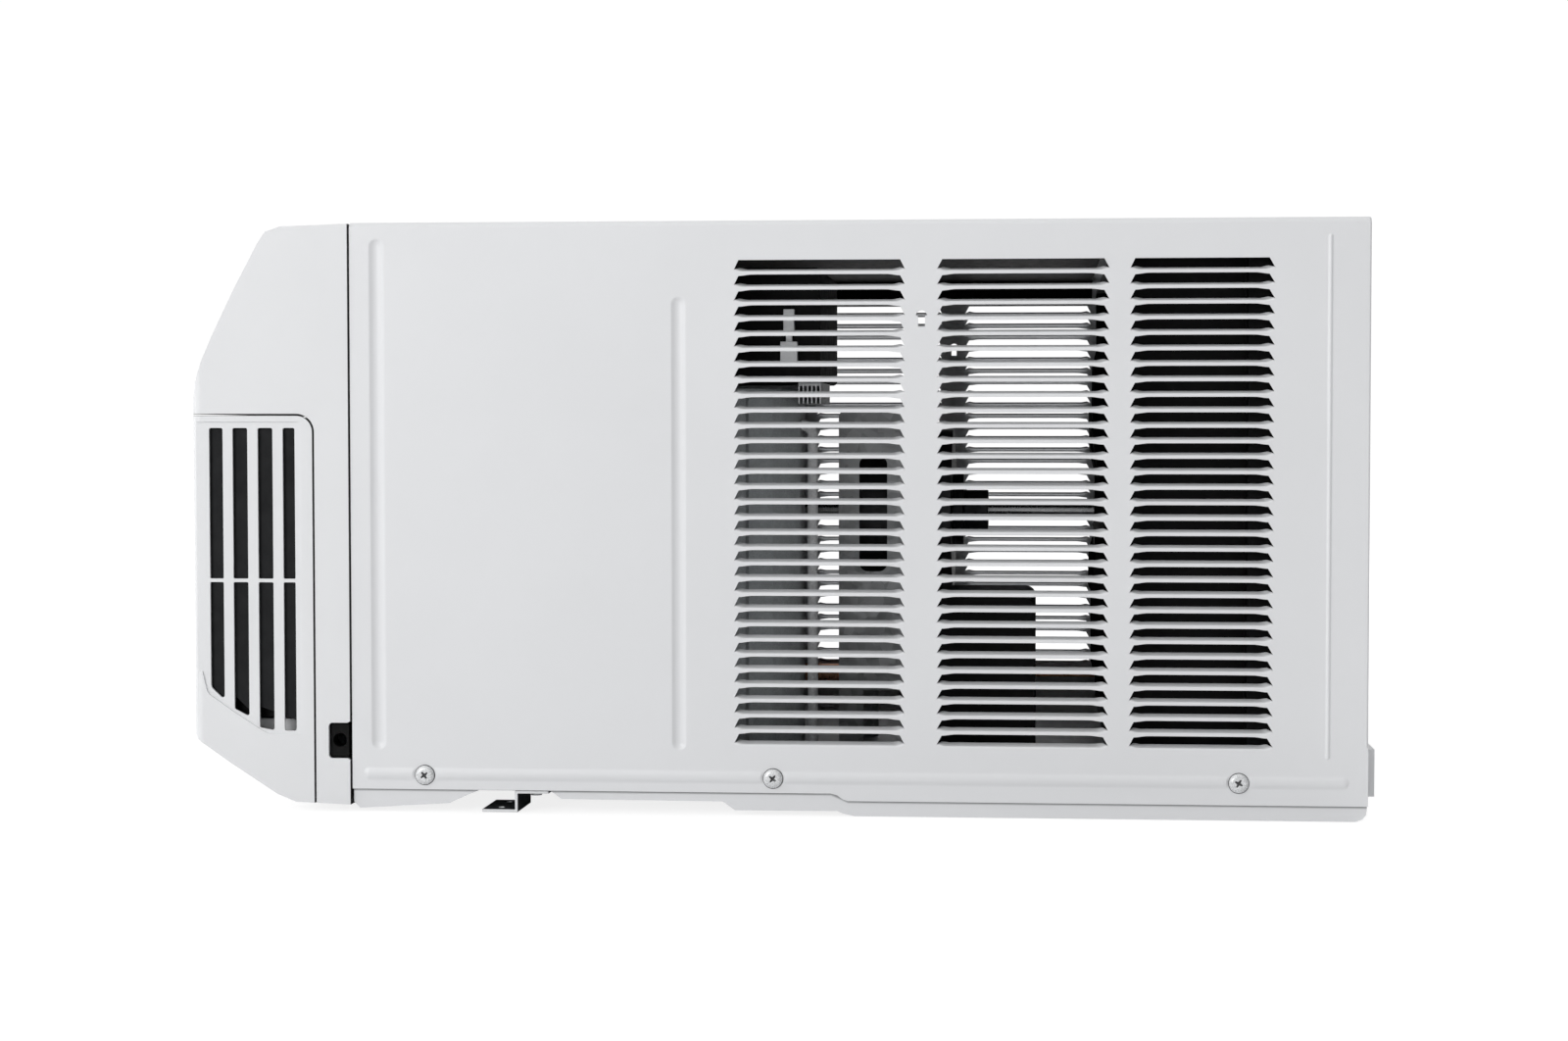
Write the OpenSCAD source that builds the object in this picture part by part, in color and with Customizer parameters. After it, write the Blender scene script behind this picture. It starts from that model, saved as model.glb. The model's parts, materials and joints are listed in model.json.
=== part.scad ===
// Window air conditioner: sheet-metal cabinet with a louvred condenser bay,
// plastic front with a tilting intake panel, and the whole refrigeration and
// fan train inside.  +X is the right-hand side as seen from the room, -Y is the
// room side, +Y is outdoors, +Z is up.  Origin: middle of the bottom face.

/* [Cabinet] */
// Outside width of the sheet-metal wrap
cabinet_w = 598; // [590:1:604]
// Thickness of the wrap sheet
sheet_t = 1.2; // [0.8:0.1:1.4]
// Height that the long lower bead stands proud of the sheet
bead_h = 0.95; // [0.4:0.05:1]
// Depth of the two upright grooves pressed into each side
groove_d = 1.6; // [0.8:0.1:1.8]
// Outer radius of the two upper bends of the wrap
wrap_r = 4; // [2:0.5:8]

/* [Side louvres] */
// Number of louvre rows in each column
louvre_rows = 32; // [20:1:32]
// Height of each lanced opening
louvre_h = 7; // [5:0.1:7.2]
// Length of the flap bent inwards from the lower edge
flap_len = 6.4; // [4:0.1:6.6]
// Rise of the flap above horizontal
flap_rise = 12; // [4:1:20]

/* [Front] */
// Wall thickness of the plastic front parts
wall = 2.5; // [2:0.1:3]
// Width of the shut line round the intake panel
seam = 0.85; // [0.6:0.05:1.2]
// Pitch of the vertical intake slots
slot_pitch = 16.4; // [15:0.1:18]
// Width of one vertical intake slot
slot_w = 9.8; // [7:0.1:10]
// Corner radius of the front's upright edges
corner_r = 7; // [4:0.5:10]

/* [Air deflectors] */
// Depth of a horizontal vane along the air stream
hvane_d = 18; // [14:0.5:18.5]
// Depth of a vertical vane along the air stream
vvane_d = 20; // [14:0.5:21]

/* [Fan train] */
// Height of the fan shaft above the base
shaft_z = 187; // [186:0.5:188]
// Radius of the fan shaft
shaft_r = 6; // [5:0.1:6]
// Outer radius of the blower wheel
blower_r = 98; // [80:1:100]
// Number of blades on the blower wheel
blower_blades = 36; // [24:1:44]
// Number of blades on the outdoor fan
fan_blades = 5; // [3:1:6]

/* [Hidden] */
$fn = 48;
H = 380;
hw = cabinet_w / 2;
bw = hw + 1;
inw = hw - sheet_t;
y_f = -275;
y_r = 375;
// slope of the discharge face: a plane through SC, local y up the slope
SC = [0, -356.2, 322.45];
SA = 64.54;

white = [0.90, 0.91, 0.92];
white2 = [0.86, 0.87, 0.88];
black = [0.06, 0.06, 0.065];
dark = [0.16, 0.16, 0.17];
steel = [0.62, 0.63, 0.64];
copper = [0.72, 0.42, 0.25];
alu = [0.78, 0.79, 0.80];
grey = [0.45, 0.46, 0.47];

// ---------- helpers ----------
function unit2(v) = v / norm(v);
function lnorm(a, b) = let (d = unit2(b - a)) [-d[1], d[0]];
// a polyline moved to its left by t, with mitred corners
function inset(p, t) = [for (i = [0:len(p) - 1]) let (
    n1 = i == 0 ? lnorm(p[0], p[1]) : lnorm(p[i - 1], p[i]),
    n2 = i == len(p) - 1 ? lnorm(p[i - 1], p[i]) : lnorm(p[i], p[i + 1]),
    m = unit2(n1 + n2)) p[i] + m * (t / (m * n1))];
function rev(p) = [for (i = [len(p) - 1:-1:0]) p[i]];
module strip(p, t) polygon(concat(p, rev(inset(p, t))));
// 2D (y, z) shapes extruded along X
module along_x(x0, x1) translate([x0, 0, 0]) rotate([90, 0, 90]) linear_extrude(x1 - x0) children();
// 2D (x, z) shapes extruded along Y
module along_y(y0, y1) translate([0, y1, 0]) rotate([90, 0, 0]) linear_extrude(y1 - y0) children();
module cyl_y(x, z, y0, y1, r) translate([x, y1, z]) rotate([90, 0, 0]) cylinder(r = r, h = y1 - y0);
module cyl_x(y, z, x0, x1, r) translate([x0, y, z]) rotate([0, 90, 0]) cylinder(r = r, h = x1 - x0);
module bx(a, b) translate(a) cube(b - a);
module both() { children(); mirror([1, 0, 0]) children(); }
module rrect(x0, y0, x1, y1, r) {
  translate([x0 + r, y0]) square([x1 - x0 - 2 * r, y1 - y0]);
  translate([x0, y0 + r]) square([x1 - x0, y1 - y0 - 2 * r]);
  for (x = [x0 + r, x1 - r], y = [y0 + r, y1 - r]) translate([x, y]) circle(r);
}
// corner k of polygon p rounded with radius r
function arc_at(p, k, r) = let (
    a = unit2(p[(k + len(p) - 1) % len(p)] - p[k]),
    b = unit2(p[(k + 1) % len(p)] - p[k]),
    h = acos(a * b) / 2,
    c = p[k] + unit2(a + b) * (r / sin(h)),
    t0 = p[k] + a * (r / tan(h)) - c,
    t1 = p[k] + b * (r / tan(h)) - c,
    a0 = atan2(t0[1], t0[0]),
    da = atan2(t0[0] * t1[1] - t0[1] * t1[0], t0 * t1))
  r < 0.01 ? [p[k]] : [for (i = [0:5]) c + r * [cos(a0 + da * i / 5), sin(a0 + da * i / 5)]];
function rounded(p, r) = [for (k = [0:len(p) - 1]) for (q = arc_at(p, k, r[k])) q];
module on_slope() translate(SC) rotate([SA, 0, 0]) children();
// a bent tube through the given points
module pipe(p, r) for (i = [0:len(p) - 2]) {
  d = p[i + 1] - p[i];
  translate(p[i]) rotate([0, acos(d[2] / norm(d)), atan2(d[1], d[0])]) cylinder(r = r, h = norm(d), $fn = 32);
  if (i > 0) translate(p[i]) sphere(r * 1.03, $fn = 32);
}

// ---------- cabinet ----------
cols = [[-26.3, 83.6, -23.0, 80.1], [103.1, 212.6, 106.8, 208.9], [224.8, 315.9, 228.2, 311.9]];
row_top = 354.7;
row_pitch = 9.742;
screw_y = [-227.3, -1.1, 294.3];
bead_z = 24.4;
module wrap2d(k) {
  r = wrap_r - k < 0.5 ? 0.5 : wrap_r - k;
  translate([-hw + k, 0]) square([cabinet_w - 2 * k, H - k - r]);
  translate([-hw + k + r, 0]) square([cabinet_w - 2 * k - 2 * r, H - k]);
  for (s = [-1, 1]) translate([s * (hw - k - r), H - k - r]) circle(r);
}
module stadium(y0, y1, z0, z1) {
  r = min(y1 - y0, z1 - z0) / 2;
  rrect(y0, z0, y1, z1, r - 0.01);
}
module grooves(g) {
  stadium(-261.9 - g, -252.9 + g, 40.6 - g, 369 + g);
  stadium(-65.9 - g, -57.3 + g, 41.8 - g, 331.3 + g);
}
module side_openings() {
  for (c = cols, i = [0:louvre_rows - 1]) {
    zt = row_top - i * row_pitch;
    polygon([[c[0], zt - louvre_h], [c[1], zt - louvre_h], [c[3], zt], [c[2], zt]]);
  }
  intersection() {
    translate([93.7, 318.9]) circle(3.5);
    translate([88, 318.9]) square([12, 6]);
  }
  translate([91.5, 312]) square([4.4, 5.4]);
  for (y = screw_y) translate([y, bead_z - 0.6]) circle(2.3);
}
module side_flaps() {
  for (c = cols) along_y(c[0] + 0.4, c[1] - 0.4)
    for (i = [0:louvre_rows - 1]) {
      zb = row_top - i * row_pitch - louvre_h;
      dx = flap_len * cos(flap_rise);
      dz = flap_len * sin(flap_rise);
      polygon([[hw - 0.1, zb - 1.4], [hw - 0.1, zb - 0.2], [hw - 0.1 - dx, zb - 0.2 + dz], [hw - 0.1 - dx, zb - 1.2 + dz]]);
    }
}
module cabinet_wrap() color(white) {
  difference() {
    union() {
      difference() {
        along_y(y_f, y_r) difference() {
          wrap2d(0);
          wrap2d(sheet_t);
          translate([-400, -1]) square([800, 10.8]);
        }
        along_x(-400, 400) polygon([[-280, 5], [-280, 14.5], [36, 14.5], [40, 13.5], [43.5, 10.9], [47, 9.8], [47, 5]]);
      }
      // inward fold at the outdoor edge
      along_y(y_r - sheet_t, y_r) difference() {
        wrap2d(0.2);
        wrap2d(9);
        translate([-400, -1]) square([800, 48]);
      }
      both() along_x(hw - 0.2, hw + bead_h) {
        stadium(-267.4, 363, bead_z - 3.8, bead_z + 3.8);
        stadium(348.4, 351, 39.5, 369);
      }
      // metal pushed inwards behind the two grooves
      both() along_x(inw - groove_d, inw + 0.2) grooves(1.2);
    }
    both() {
      along_x(inw - 1, bw + 1) side_openings();
      along_x(hw - groove_d, hw + 3) grooves(0);
      // flat seats for the screw heads
      for (y = screw_y) cyl_x(y, bead_z - 0.6, hw, bw + 2, 6.9);
    }
  }
  both() side_flaps();
}
module pan_screw() {
  difference() {
    union() {
      cylinder(r = 6.2, h = 0.9);
      translate([0, 0, 0.9]) cylinder(r1 = 6.2, r2 = 4.6, h = 1.2);
      translate([0, 0, 2.1]) cylinder(r1 = 4.6, r2 = 2.6, h = 0.5);
    }
    for (a = [0, 90]) rotate([0, 0, a]) translate([-2.6, -0.55, 1.1]) cube([5.2, 1.1, 3]);
  }
  translate([0, 0, -9]) cylinder(r = 1.95, h = 9);
}
module cabinet_screws() color(white2)
  for (s = [-1, 1], y = screw_y)
    translate([s * (hw + 0.02), y, bead_z - 0.6]) rotate([0, s * 90, 0]) rotate([0, 0, 38]) pan_screw();

pan_line = [[-274.6, 33], [-274.6, 6], [-270.6, 1.8], [-211.4, 5.5], [-208.7, 6.9], [-192.3, 14.1], [-145.7, 14.1],
  [-138.5, 8.9], [-33.9, 8.5], [-25.9, 2.9], [40, 3.1], [43.7, 1.5], [51.1, 0], [367.2, 0], [371.6, 1.4],
  [374, 4.2], [374.5, 7.1], [374.5, 45]];
pan_front = [[-356, 58], [-356, 38.5], [-302, 38.5], [-292, 14], [-274.2, 12.6]];
pan_t = 1.6;
module pan_side2d() intersection() {
  polygon(pan_line);
  translate([-400, -1]) square([800, 34]);
}
module base_pan() color(white) {
  difference() {
    union() {
      along_x(-inw + 0.5, inw - 0.5) strip(pan_line, pan_t);
      both() along_x(inw - 2.1, inw - 0.5) pan_side2d();
      // raised tray under the indoor coil
      along_x(-285, 285) strip(pan_front, pan_t);
      both() along_x(283.4, 285) polygon([[-356, 58], [-356, 38.5], [-302, 38.5], [-302, 58]]);
      // hemmed outdoor lip
      difference() {
        bx([-290, 374.2, 15], [290, 380, 45]);
        bx([-288.4, 374.6, 16.6], [288.4, 378.4, 43.4]);
      }
    }
    both() for (y = screw_y) cyl_x(y, bead_z - 0.6, inw - 4, inw, 2.3);
    // drain hole
    translate([-200, 290, -1]) cylinder(r = 8, h = 6);
    // bracket screw holes under the sill recess
    both() for (x = [264, 286]) translate([x, -157, 10]) cylinder(r = 1.9, h = 8);
  }
}
module bracket_right() color(steel) difference() {
  union() {
    bx([255, -190.4, 0], [297, -167.1, 1.8]);
    bx([255, -168.9, 0], [297, -167.1, 13.9]);
    bx([255, -168.9, 12.1], [297, -147, 13.9]);
  }
  for (x = [264, 288]) translate([x, -180, -1]) cylinder(r = 2.75, h = 4);
  for (x = [264, 286]) translate([x, -157, 11]) cylinder(r = 2.1, h = 4);
}
module bracket_left() mirror([1, 0, 0]) bracket_right();
module bracket_screws() color(steel) both() for (x = [264, 286]) translate([x, -157, 0]) {
  translate([0, 0, 12.02]) rotate([180, 0, 0]) difference() {
    cylinder(r = 3.6, h = 2.2);
    for (a = [0, 90]) rotate([0, 0, a]) translate([-1.8, -0.4, 1]) cube([3.6, 0.8, 2]);
  }
  translate([0, 0, 12]) cylinder(r = 1.8, h = 7);
}
module rear_guard() color(white) difference() {
  along_y(362, 364) difference() {
    rrect(-290, 48, 290, 374, 4);
    for (j = [0:30]) for (x = [-282, -169, -56, 57, 170]) translate([x, 56 + j * 10]) square([108, 6.6]);
  }
}

// ---------- front ----------
face = [[-275.9, 379.2], [-320, 377.7], [-329.9, 374.4], [-334.9, 367.2], [-351.3, 336.7], [-365.2, 308.3],
  [-372.7, 291.4], [-377.5, 277.7], [-379.4, 265], [-380, 250], [-380, 50.3], [-377.7, 46], [-354.1, 29.7],
  [-324.5, 10.6], [-312.1, 5.6], [-300.3, 5.1], [-275.9, 4.2]];
module face_shell() intersection() {
  union() {
    along_x(-bw, bw) strip(face, wall);
    both() along_x(bw - wall, bw) polygon(face);
  }
  // rounded upright corners
  linear_extrude(H) {
    translate([-bw, -380 + corner_r]) square([2 * bw, 200]);
    translate([-bw + corner_r, -380]) square([2 * bw - 2 * corner_r, 200]);
    for (s = [-1, 1]) translate([s * (bw - corner_r), -380 + corner_r]) circle(corner_r);
  }
}
// outline of the intake panel in side view, g is how far it is drawn back
module panel2d(g) {
  r = 11 + 0.4 - g / 2;
  translate([-390, -5]) square([91.2 - g, 261.9 - g - r]);
  translate([-390, -5]) square([91.2 - g - r, 261.9 - g]);
  translate([-390 + 91.2 - g - r, -5 + 261.9 - g - r]) circle(r);
}
hinge = [0, -306, 7.5];
module front_frame() color(white) {
  difference() {
    union() {
      difference() {
        face_shell();
        along_x(-400, 400) panel2d(0);
      }
      // turned-in lip over the panel
      intersection() {
        bx([-bw + 2, -378.6, 256.9], [bw - 2, -345, 259.2]);
        along_x(-400, 400) polygon(face);
      }
      // hooks inside the cabinet
      both() bx([inw - 1.9, -284, 62], [inw - 0.4, -264, 366]);
      both() bx([inw - 1.9, -284, 62], [bw - 1, -281, 366]);
      // hinge lugs
      both() difference() {
        union() {
          bx([270, -306, 4.3], [276, -297.5, 7.5]);
          bx([270, -306, 7.4], [276, -297.5, 10.7]);
          cyl_x(hinge[1], hinge[2], 270, 276, 3.2);
        }
        cyl_x(hinge[1], hinge[2], 269, 277, 1.65);
      }
      both() bx([270, -298.4, 4.6], [276, -295, 10.7]);
    }
    // discharge opening and control window through the slope
    on_slope() translate([-261, -32, -12]) cube([378, 64, 24]);
    on_slope() linear_extrude(24, center = true) rrect(139, -35, 287, 35, 5);
    // cord notch in the rear edge, right-hand side only
    along_x(bw - 4, bw + 2) {
      rrect(-290.3, 34.2, -262, 57.3, 2.5);
      for (z = [34.2, 57.3], s = [z > 40 ? 1 : -1]) difference() {
        translate([-278.5, s > 0 ? z - 0.5 : z - 2.6]) square([6, 3.1]);
        translate([-278.5, z + s * 2.6]) circle(2.6);
      }
    }
  }
}
function side_slot(k) = [[-368.2, -359.2, 79.7, 71.2], [-352.7, -342.9, 65.8, 60.6], [-336.1, -326.3, 53.7, 51.9],
  [-319.6, -311.7, 51.7, 51.7]][k];
// outline of the shallow field on the panel's sides
module field2d() polygon(rounded([[-385, 252], [-307.5, 252], [-307.5, 49.4], [-331, 49.8], [-352, 63.2], [-370.4, 76], [-373.6, 90], [-385, 90]],
  [0, 2, 1.2, 12, 0, 7, 0, 0]));
module intake_panel() color(white) difference() {
  union() {
    difference() {
      intersection() {
        face_shell();
        along_x(-400, 400) panel2d(seam);
      }
      // shallow field that carries the slots
      along_x(bw - 1, bw + 2) field2d();
      along_x(-bw - 2, -bw + 1) field2d();
      bx([-bw - 1, -382, 80], [bw + 1, -379, 252]);
      // pockets round the hinge lugs
      both() bx([268.8, -313, -1], [277.2, -298, 14]);
    }
    // turned-in top edge
    bx([-bw + 4, -378.5, 253.5], [bw - 4, -373, 256]);
    // rails that hold the filter
    both() {
      bx([286.2, -378, 60], [288.2, -364.6, 240]);
      bx([281, -366.4, 60], [288.2, -364.6, 240]);
    }
    // hinge pins
    both() cyl_x(hinge[1], hinge[2], 264, 282, 1.6);
  }
  // front slots
  n = floor(280 / slot_pitch);
  along_y(-382, -376.8) for (i = [-n:n]) {
    translate([i * slot_pitch - slot_w / 2, 150.4]) square([slot_w, 97.6]);
    translate([i * slot_pitch - slot_w / 2, 80]) square([slot_w, 68.1]);
  }
  // side slots
  both() along_x(bw - wall - 1, bw + 1) for (k = [0:3]) {
    s = side_slot(k);
    polygon(rounded([[s[0], 150.4], [s[1], 150.4], [s[1], 248], [s[0], 248]], [0.8, 0.8, 1.2, 1.2]));
    polygon(rounded([[s[0], 148.1], [s[0], s[2]], [s[1], s[3]], [s[1], 148.1]], [0.8, k == 0 ? 4.5 : 1.2, 1.4, 0.8]));
  }
}
module filter_frame() color(dark) along_y(-371, -368.2) difference() {
  rrect(-285, 48, 285, 240, 6);
  for (i = [0:5], j = [0:2]) translate([-277 + i * 92.8, 56 + j * 60]) square([89.8, 56]);
}
module filter_mesh() color([0.25, 0.26, 0.28]) bx([-280, -368.1, 53], [280, -367.5, 235]);

// ---------- control panel on the slope ----------
module control_panel() color(white2) difference() {
  intersection() {
    along_x(139.4, 286.6) strip(face, wall);
    on_slope() linear_extrude(30, center = true) rrect(139.4, -34.6, 286.6, 34.6, 4.6);
  }
  on_slope() linear_extrude(30, center = true) {
    rrect(183, 4, 243, 28, 2);
    for (b = btn) rrect(b[0] - b[2] / 2 - 0.35, b[1] - b[3] / 2 - 0.35, b[0] + b[2] / 2 + 0.35, b[1] + b[3] / 2 + 0.35, 2.2);
  }
}
// buttons: x, y up the slope, width, height
btn = [[160, 16, 18, 12], [160, -14, 18, 9], [187, -14, 18, 9], [213, -14, 18, 9], [266, -14, 18, 9], [266, 20, 15, 9], [266, 6, 15, 9]];
module button(b) color(white2) on_slope() {
  translate([0, 0, -3.4]) linear_extrude(6) rrect(b[0] - b[2] / 2, b[1] - b[3] / 2, b[0] + b[2] / 2, b[1] + b[3] / 2, 1.9);
  // switch stem
  translate([b[0], b[1], -6.2]) cylinder(r = 1.8, h = 3);
}
module button_power() button(btn[0]);
module button_mode() button(btn[1]);
module button_fan_speed() button(btn[2]);
module button_timer() button(btn[3]);
module button_energy_saver() button(btn[4]);
module button_up() button(btn[5]);
module button_down() button(btn[6]);
module display_lens() color(black) on_slope() translate([0, 0, -2.2]) linear_extrude(4.1) rrect(183.4, 4.4, 242.6, 27.6, 1.6);
module display_board() color([0.05, 0.25, 0.14]) on_slope() {
  translate([146, -30, -11]) cube([134, 60, 1.6]);
  for (b = btn) translate([b[0] - 3, b[1] - 3, -9.45]) cube([6, 6, 1.9]);
  translate([186, 7, -9.45]) cube([54, 18, 6.5]);
}

// ---------- louvre housing and air deflectors ----------
hv_u = [-21, 0, 21];
hv_w = -14.5;
vv_x = [-230, -167, -104, -41, 22, 85];
vv_w = -40;
module louvre_housing() color(dark) {
  // cheeks beside the indoor coil, hung from the duct's lower wall
  both() bx([290, -362, 60], [292, -300, 250]);
  bx([-292, -350, 243], [292, -287.5, 245.5]);
  bx([-264.5, -290, 243], [120.5, -287.5, 252.3]);
  duct();
}
module duct() difference() {
  on_slope() difference() {
    translate([-264.5, -35.5, -120]) cube([385, 71, 116.7]);
    translate([-262, -33, -130]) cube([380, 66, 140]);
    // pivot holes
    for (u = hv_u) translate([-270, u, hv_w]) rotate([0, 90, 0]) cylinder(r = 1.56, h = 400);
    for (x = vv_x) translate([x, -40, vv_w]) rotate([-90, 0, 0]) cylinder(r = 1.56, h = 80);
  }
  bx([-400, -284.2, 100], [400, 0, 500]);
}
module hvane(u) color(white2) on_slope() {
  difference() {
    union() {
      translate([-250, u - 1.1, hv_w - hvane_d / 2]) cube([362, 2.2, hvane_d]);
      translate([-250, u, hv_w]) rotate([0, 90, 0]) cylinder(r = 2.4, h = 362);
    }
  }
  translate([-264, u, hv_w]) rotate([0, 90, 0]) cylinder(r = 1.5, h = 15);
  translate([111, u, hv_w]) rotate([0, 90, 0]) cylinder(r = 1.5, h = 9);
  // link pin
  translate([-257, u, hv_w - 7]) rotate([0, 90, 0]) cylinder(r = 1, h = 7.5);
  if (u == 0) translate([-80, -4, hv_w + hvane_d / 2 - 1.4]) cube([26, 8, 2]);
}
module horizontal_vane_1() hvane(hv_u[0]);
module horizontal_vane_2() hvane(hv_u[1]);
module horizontal_vane_3() hvane(hv_u[2]);
module horizontal_link() color(white2) on_slope() difference() {
  translate([-257.5, -24, hv_w - 7 - 2.6]) cube([2.6, 48, 5.2]);
  for (u = hv_u) translate([-260, u, hv_w - 7]) rotate([0, 90, 0]) cylinder(r = 1.06, h = 10);
}
module vvane(x) color(white2) on_slope() {
  translate([x - 0.9, -25, vv_w - vvane_d / 2]) cube([1.8, 54, vvane_d]);
  // the first vane's upper pin reaches into the swing motor
  translate([x, -34.5, vv_w]) rotate([-90, 0, 0]) cylinder(r = 1.5, h = x == vv_x[0] ? 75 : 69);
  translate([x, -30.5, vv_w - 8]) rotate([-90, 0, 0]) cylinder(r = 1, h = 6);
}
module vertical_vane_1() vvane(vv_x[0]);
module vertical_vane_2() vvane(vv_x[1]);
module vertical_vane_3() vvane(vv_x[2]);
module vertical_vane_4() vvane(vv_x[3]);
module vertical_vane_5() vvane(vv_x[4]);
module vertical_vane_6() vvane(vv_x[5]);
module vertical_tie_bar() color(white2) on_slope() difference() {
  translate([vv_x[0] - 5, -29.6, vv_w - 8 - 2.4]) cube([vv_x[5] - vv_x[0] + 10, 2.4, 4.8]);
  for (x = vv_x) translate([x, -32, vv_w - 8]) rotate([-90, 0, 0]) cylinder(r = 1.06, h = 8);
}
module swing_motor() color(alu) on_slope() difference() {
  union() {
    translate([vv_x[0], 35.8, vv_w]) rotate([-90, 0, 0]) cylinder(r = 12, h = 15);
    translate([vv_x[0] - 17, 35.8, vv_w - 4]) cube([34, 1.4, 8]);
  }
  translate([vv_x[0], 35, vv_w]) rotate([-90, 0, 0]) cylinder(r = 1.56, h = 7);
}
module cord_gland() color(black) difference() {
  union() {
    bx([289, -289.6, 35.2], [297.3, -277.6, 56.4]);
    bx([286.5, -289.6, 38], [289.1, -277.6, 54]);
  }
  cyl_x(-283.6, 45.8, 280, 300, 4.5);
}

// ---------- indoor coil and blower ----------
module bends(xf, s, y, z0, n, p) for (i = [0:n - 1]) translate([xf, y, z0 + i * 2 * p + p / 2])
  rotate([90, 0, 0]) rotate([0, 0, s > 0 ? -90 : 90]) rotate_extrude(angle = 180, $fn = 40) translate([p / 2, 0]) circle(4.2, $fn = 24);
module coil(x0, x1, y0, y1, z0, z1) {
  bx([x0, y0, z0], [x1, y1, z1]);
  for (x = [x0 - 1.4, x1 - 0.1]) bx([x, y0 - 2, z0 - 1.5], [x + 1.5, y1 + 2, z1 + 1.5]);
}
module evaporator_coil() color(alu) coil(-262, 262, -350, -308, 42, 240);
module evaporator_bends() color(copper) {
  for (y = [-340, -318]) { bends(263.45, 1, y, 86, 4, 19); bends(-263.45, -1, y, 67, 5, 19); }
}
module blower_scroll() color(grey) difference() {
  union() {
    bx([-140, -283.2, 60], [140, -156, 260]);
    bx([-268, -283.2, 246], [124, -156, 332]);
  }
  bx([-262, -290, 250.5], [118, -162, 327]);
  cyl_y(0, shaft_z, -276, -168, 112);
  cyl_y(0, shaft_z, -290, -270, 78);
  cyl_y(0, shaft_z, -180, -150, 12);
}
module blower_wheel() color(dark) {
  difference() {
    union() {
      cyl_y(0, shaft_z, -181, -178.5, blower_r);
      cyl_y(0, shaft_z, -206, -178.5, 14);
    }
    cyl_y(0, shaft_z, -220, -170, shaft_r + 0.04);
  }
  difference() {
    cyl_y(0, shaft_z, -270, -266, blower_r);
    cyl_y(0, shaft_z, -271, -265, blower_r - 13);
  }
  for (i = [0:blower_blades - 1]) translate([0, 0, shaft_z]) rotate([0, i * 360 / blower_blades, 0])
    translate([blower_r - 7.5, -267, 0]) rotate([0, 28, 0]) translate([-6, 0, -0.6]) cube([12, 86.5, 1.2]);
}
module bulkhead() color(steel) along_y(-152.2, -151) difference() {
  translate([-294.5, 16.5]) square([589, 361]);
  translate([0, shaft_z]) circle(14);
  translate([282, 66]) circle(9);
  translate([-282, 36]) circle(4.5);
}

// ---------- fan train ----------
module fan_motor() color(dark) difference() {
  union() {
    cyl_y(0, shaft_z, 30, 104, 60);
    cyl_y(0, shaft_z, 26.2, 112, 28);
    cyl_y(0, shaft_z, 111, 130, 15);
    for (a = [45:90:315]) translate([0, 0, shaft_z]) rotate([0, a, 0]) bx([40, 27, -6], [66, 31, 6]);
  }
  cyl_y(0, shaft_z, 0, 150, shaft_r + 0.06);
}
module motor_bracket() color(grey) difference() {
  union() {
    both() along_x(84, 86) difference() {
      rrect(24, 5, 86, 261, 5);
      rrect(38.8, 145, 58.9, 228, 6);
      translate([41.8, -1]) square([60, 60]);
    }
    along_y(24, 26) difference() {
      translate([-86, 5]) square([172, 250]);
      translate([0, shaft_z]) circle(30);
      translate([-60, 20]) square([120, 84]);
    }
    both() bx([84, 24, 4.9], [100, 40, 6.6]);
  }
}
module fan_shaft() color(steel) cyl_y(0, shaft_z, -207, 236, shaft_r);
module condenser_fan() color(black) {
  difference() {
    cyl_y(0, shaft_z, 209, 240, 26);
    cyl_y(0, shaft_z, 200, 250, shaft_r + 0.04);
  }
  for (i = [0:fan_blades - 1]) translate([0, 224.5, shaft_z]) rotate([0, i * 360 / fan_blades, 0])
    translate([24, 0, 0]) rotate([28, 0, 0]) linear_extrude(3, center = true)
      polygon([[0, -14], [0, 14], [40, 22], [90, 26], [118.5, 20], [118.5, -12], [90, -20], [40, -20]]);
  difference() {
    cyl_y(0, shaft_z, 219, 231, 145);
    cyl_y(0, shaft_z, 218, 232, 141.5);
  }
}
module condenser_shroud() color(black) difference() {
  union() {
    along_y(216, 304) difference() {
      rrect(-268, 20, 268, 366, 6);
      rrect(-265.5, 22.5, 265.5, 363.5, 4);
    }
    along_y(233, 235.5) rrect(-267, 21, 267, 365, 6);
    cyl_y(0, shaft_z, 227, 235.5, 152);
  }
  cyl_y(0, shaft_z, 200, 260, 149.5);
}
module shroud_shields() color(black) both() {
  bx([265.5, 300, 44], [286, 302, 362]);
  bx([284, 300, 44], [286, 352, 362]);
}
module condenser_coil() color(alu) coil(-262, 262, 309, 350, 20, 364);
module condenser_bends() color(copper) for (y = [319, 340]) {
  bends(263.45, 1, y, 62, 7, 21);
  bends(-263.45, -1, y, 62, 7, 21);
}

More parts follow.
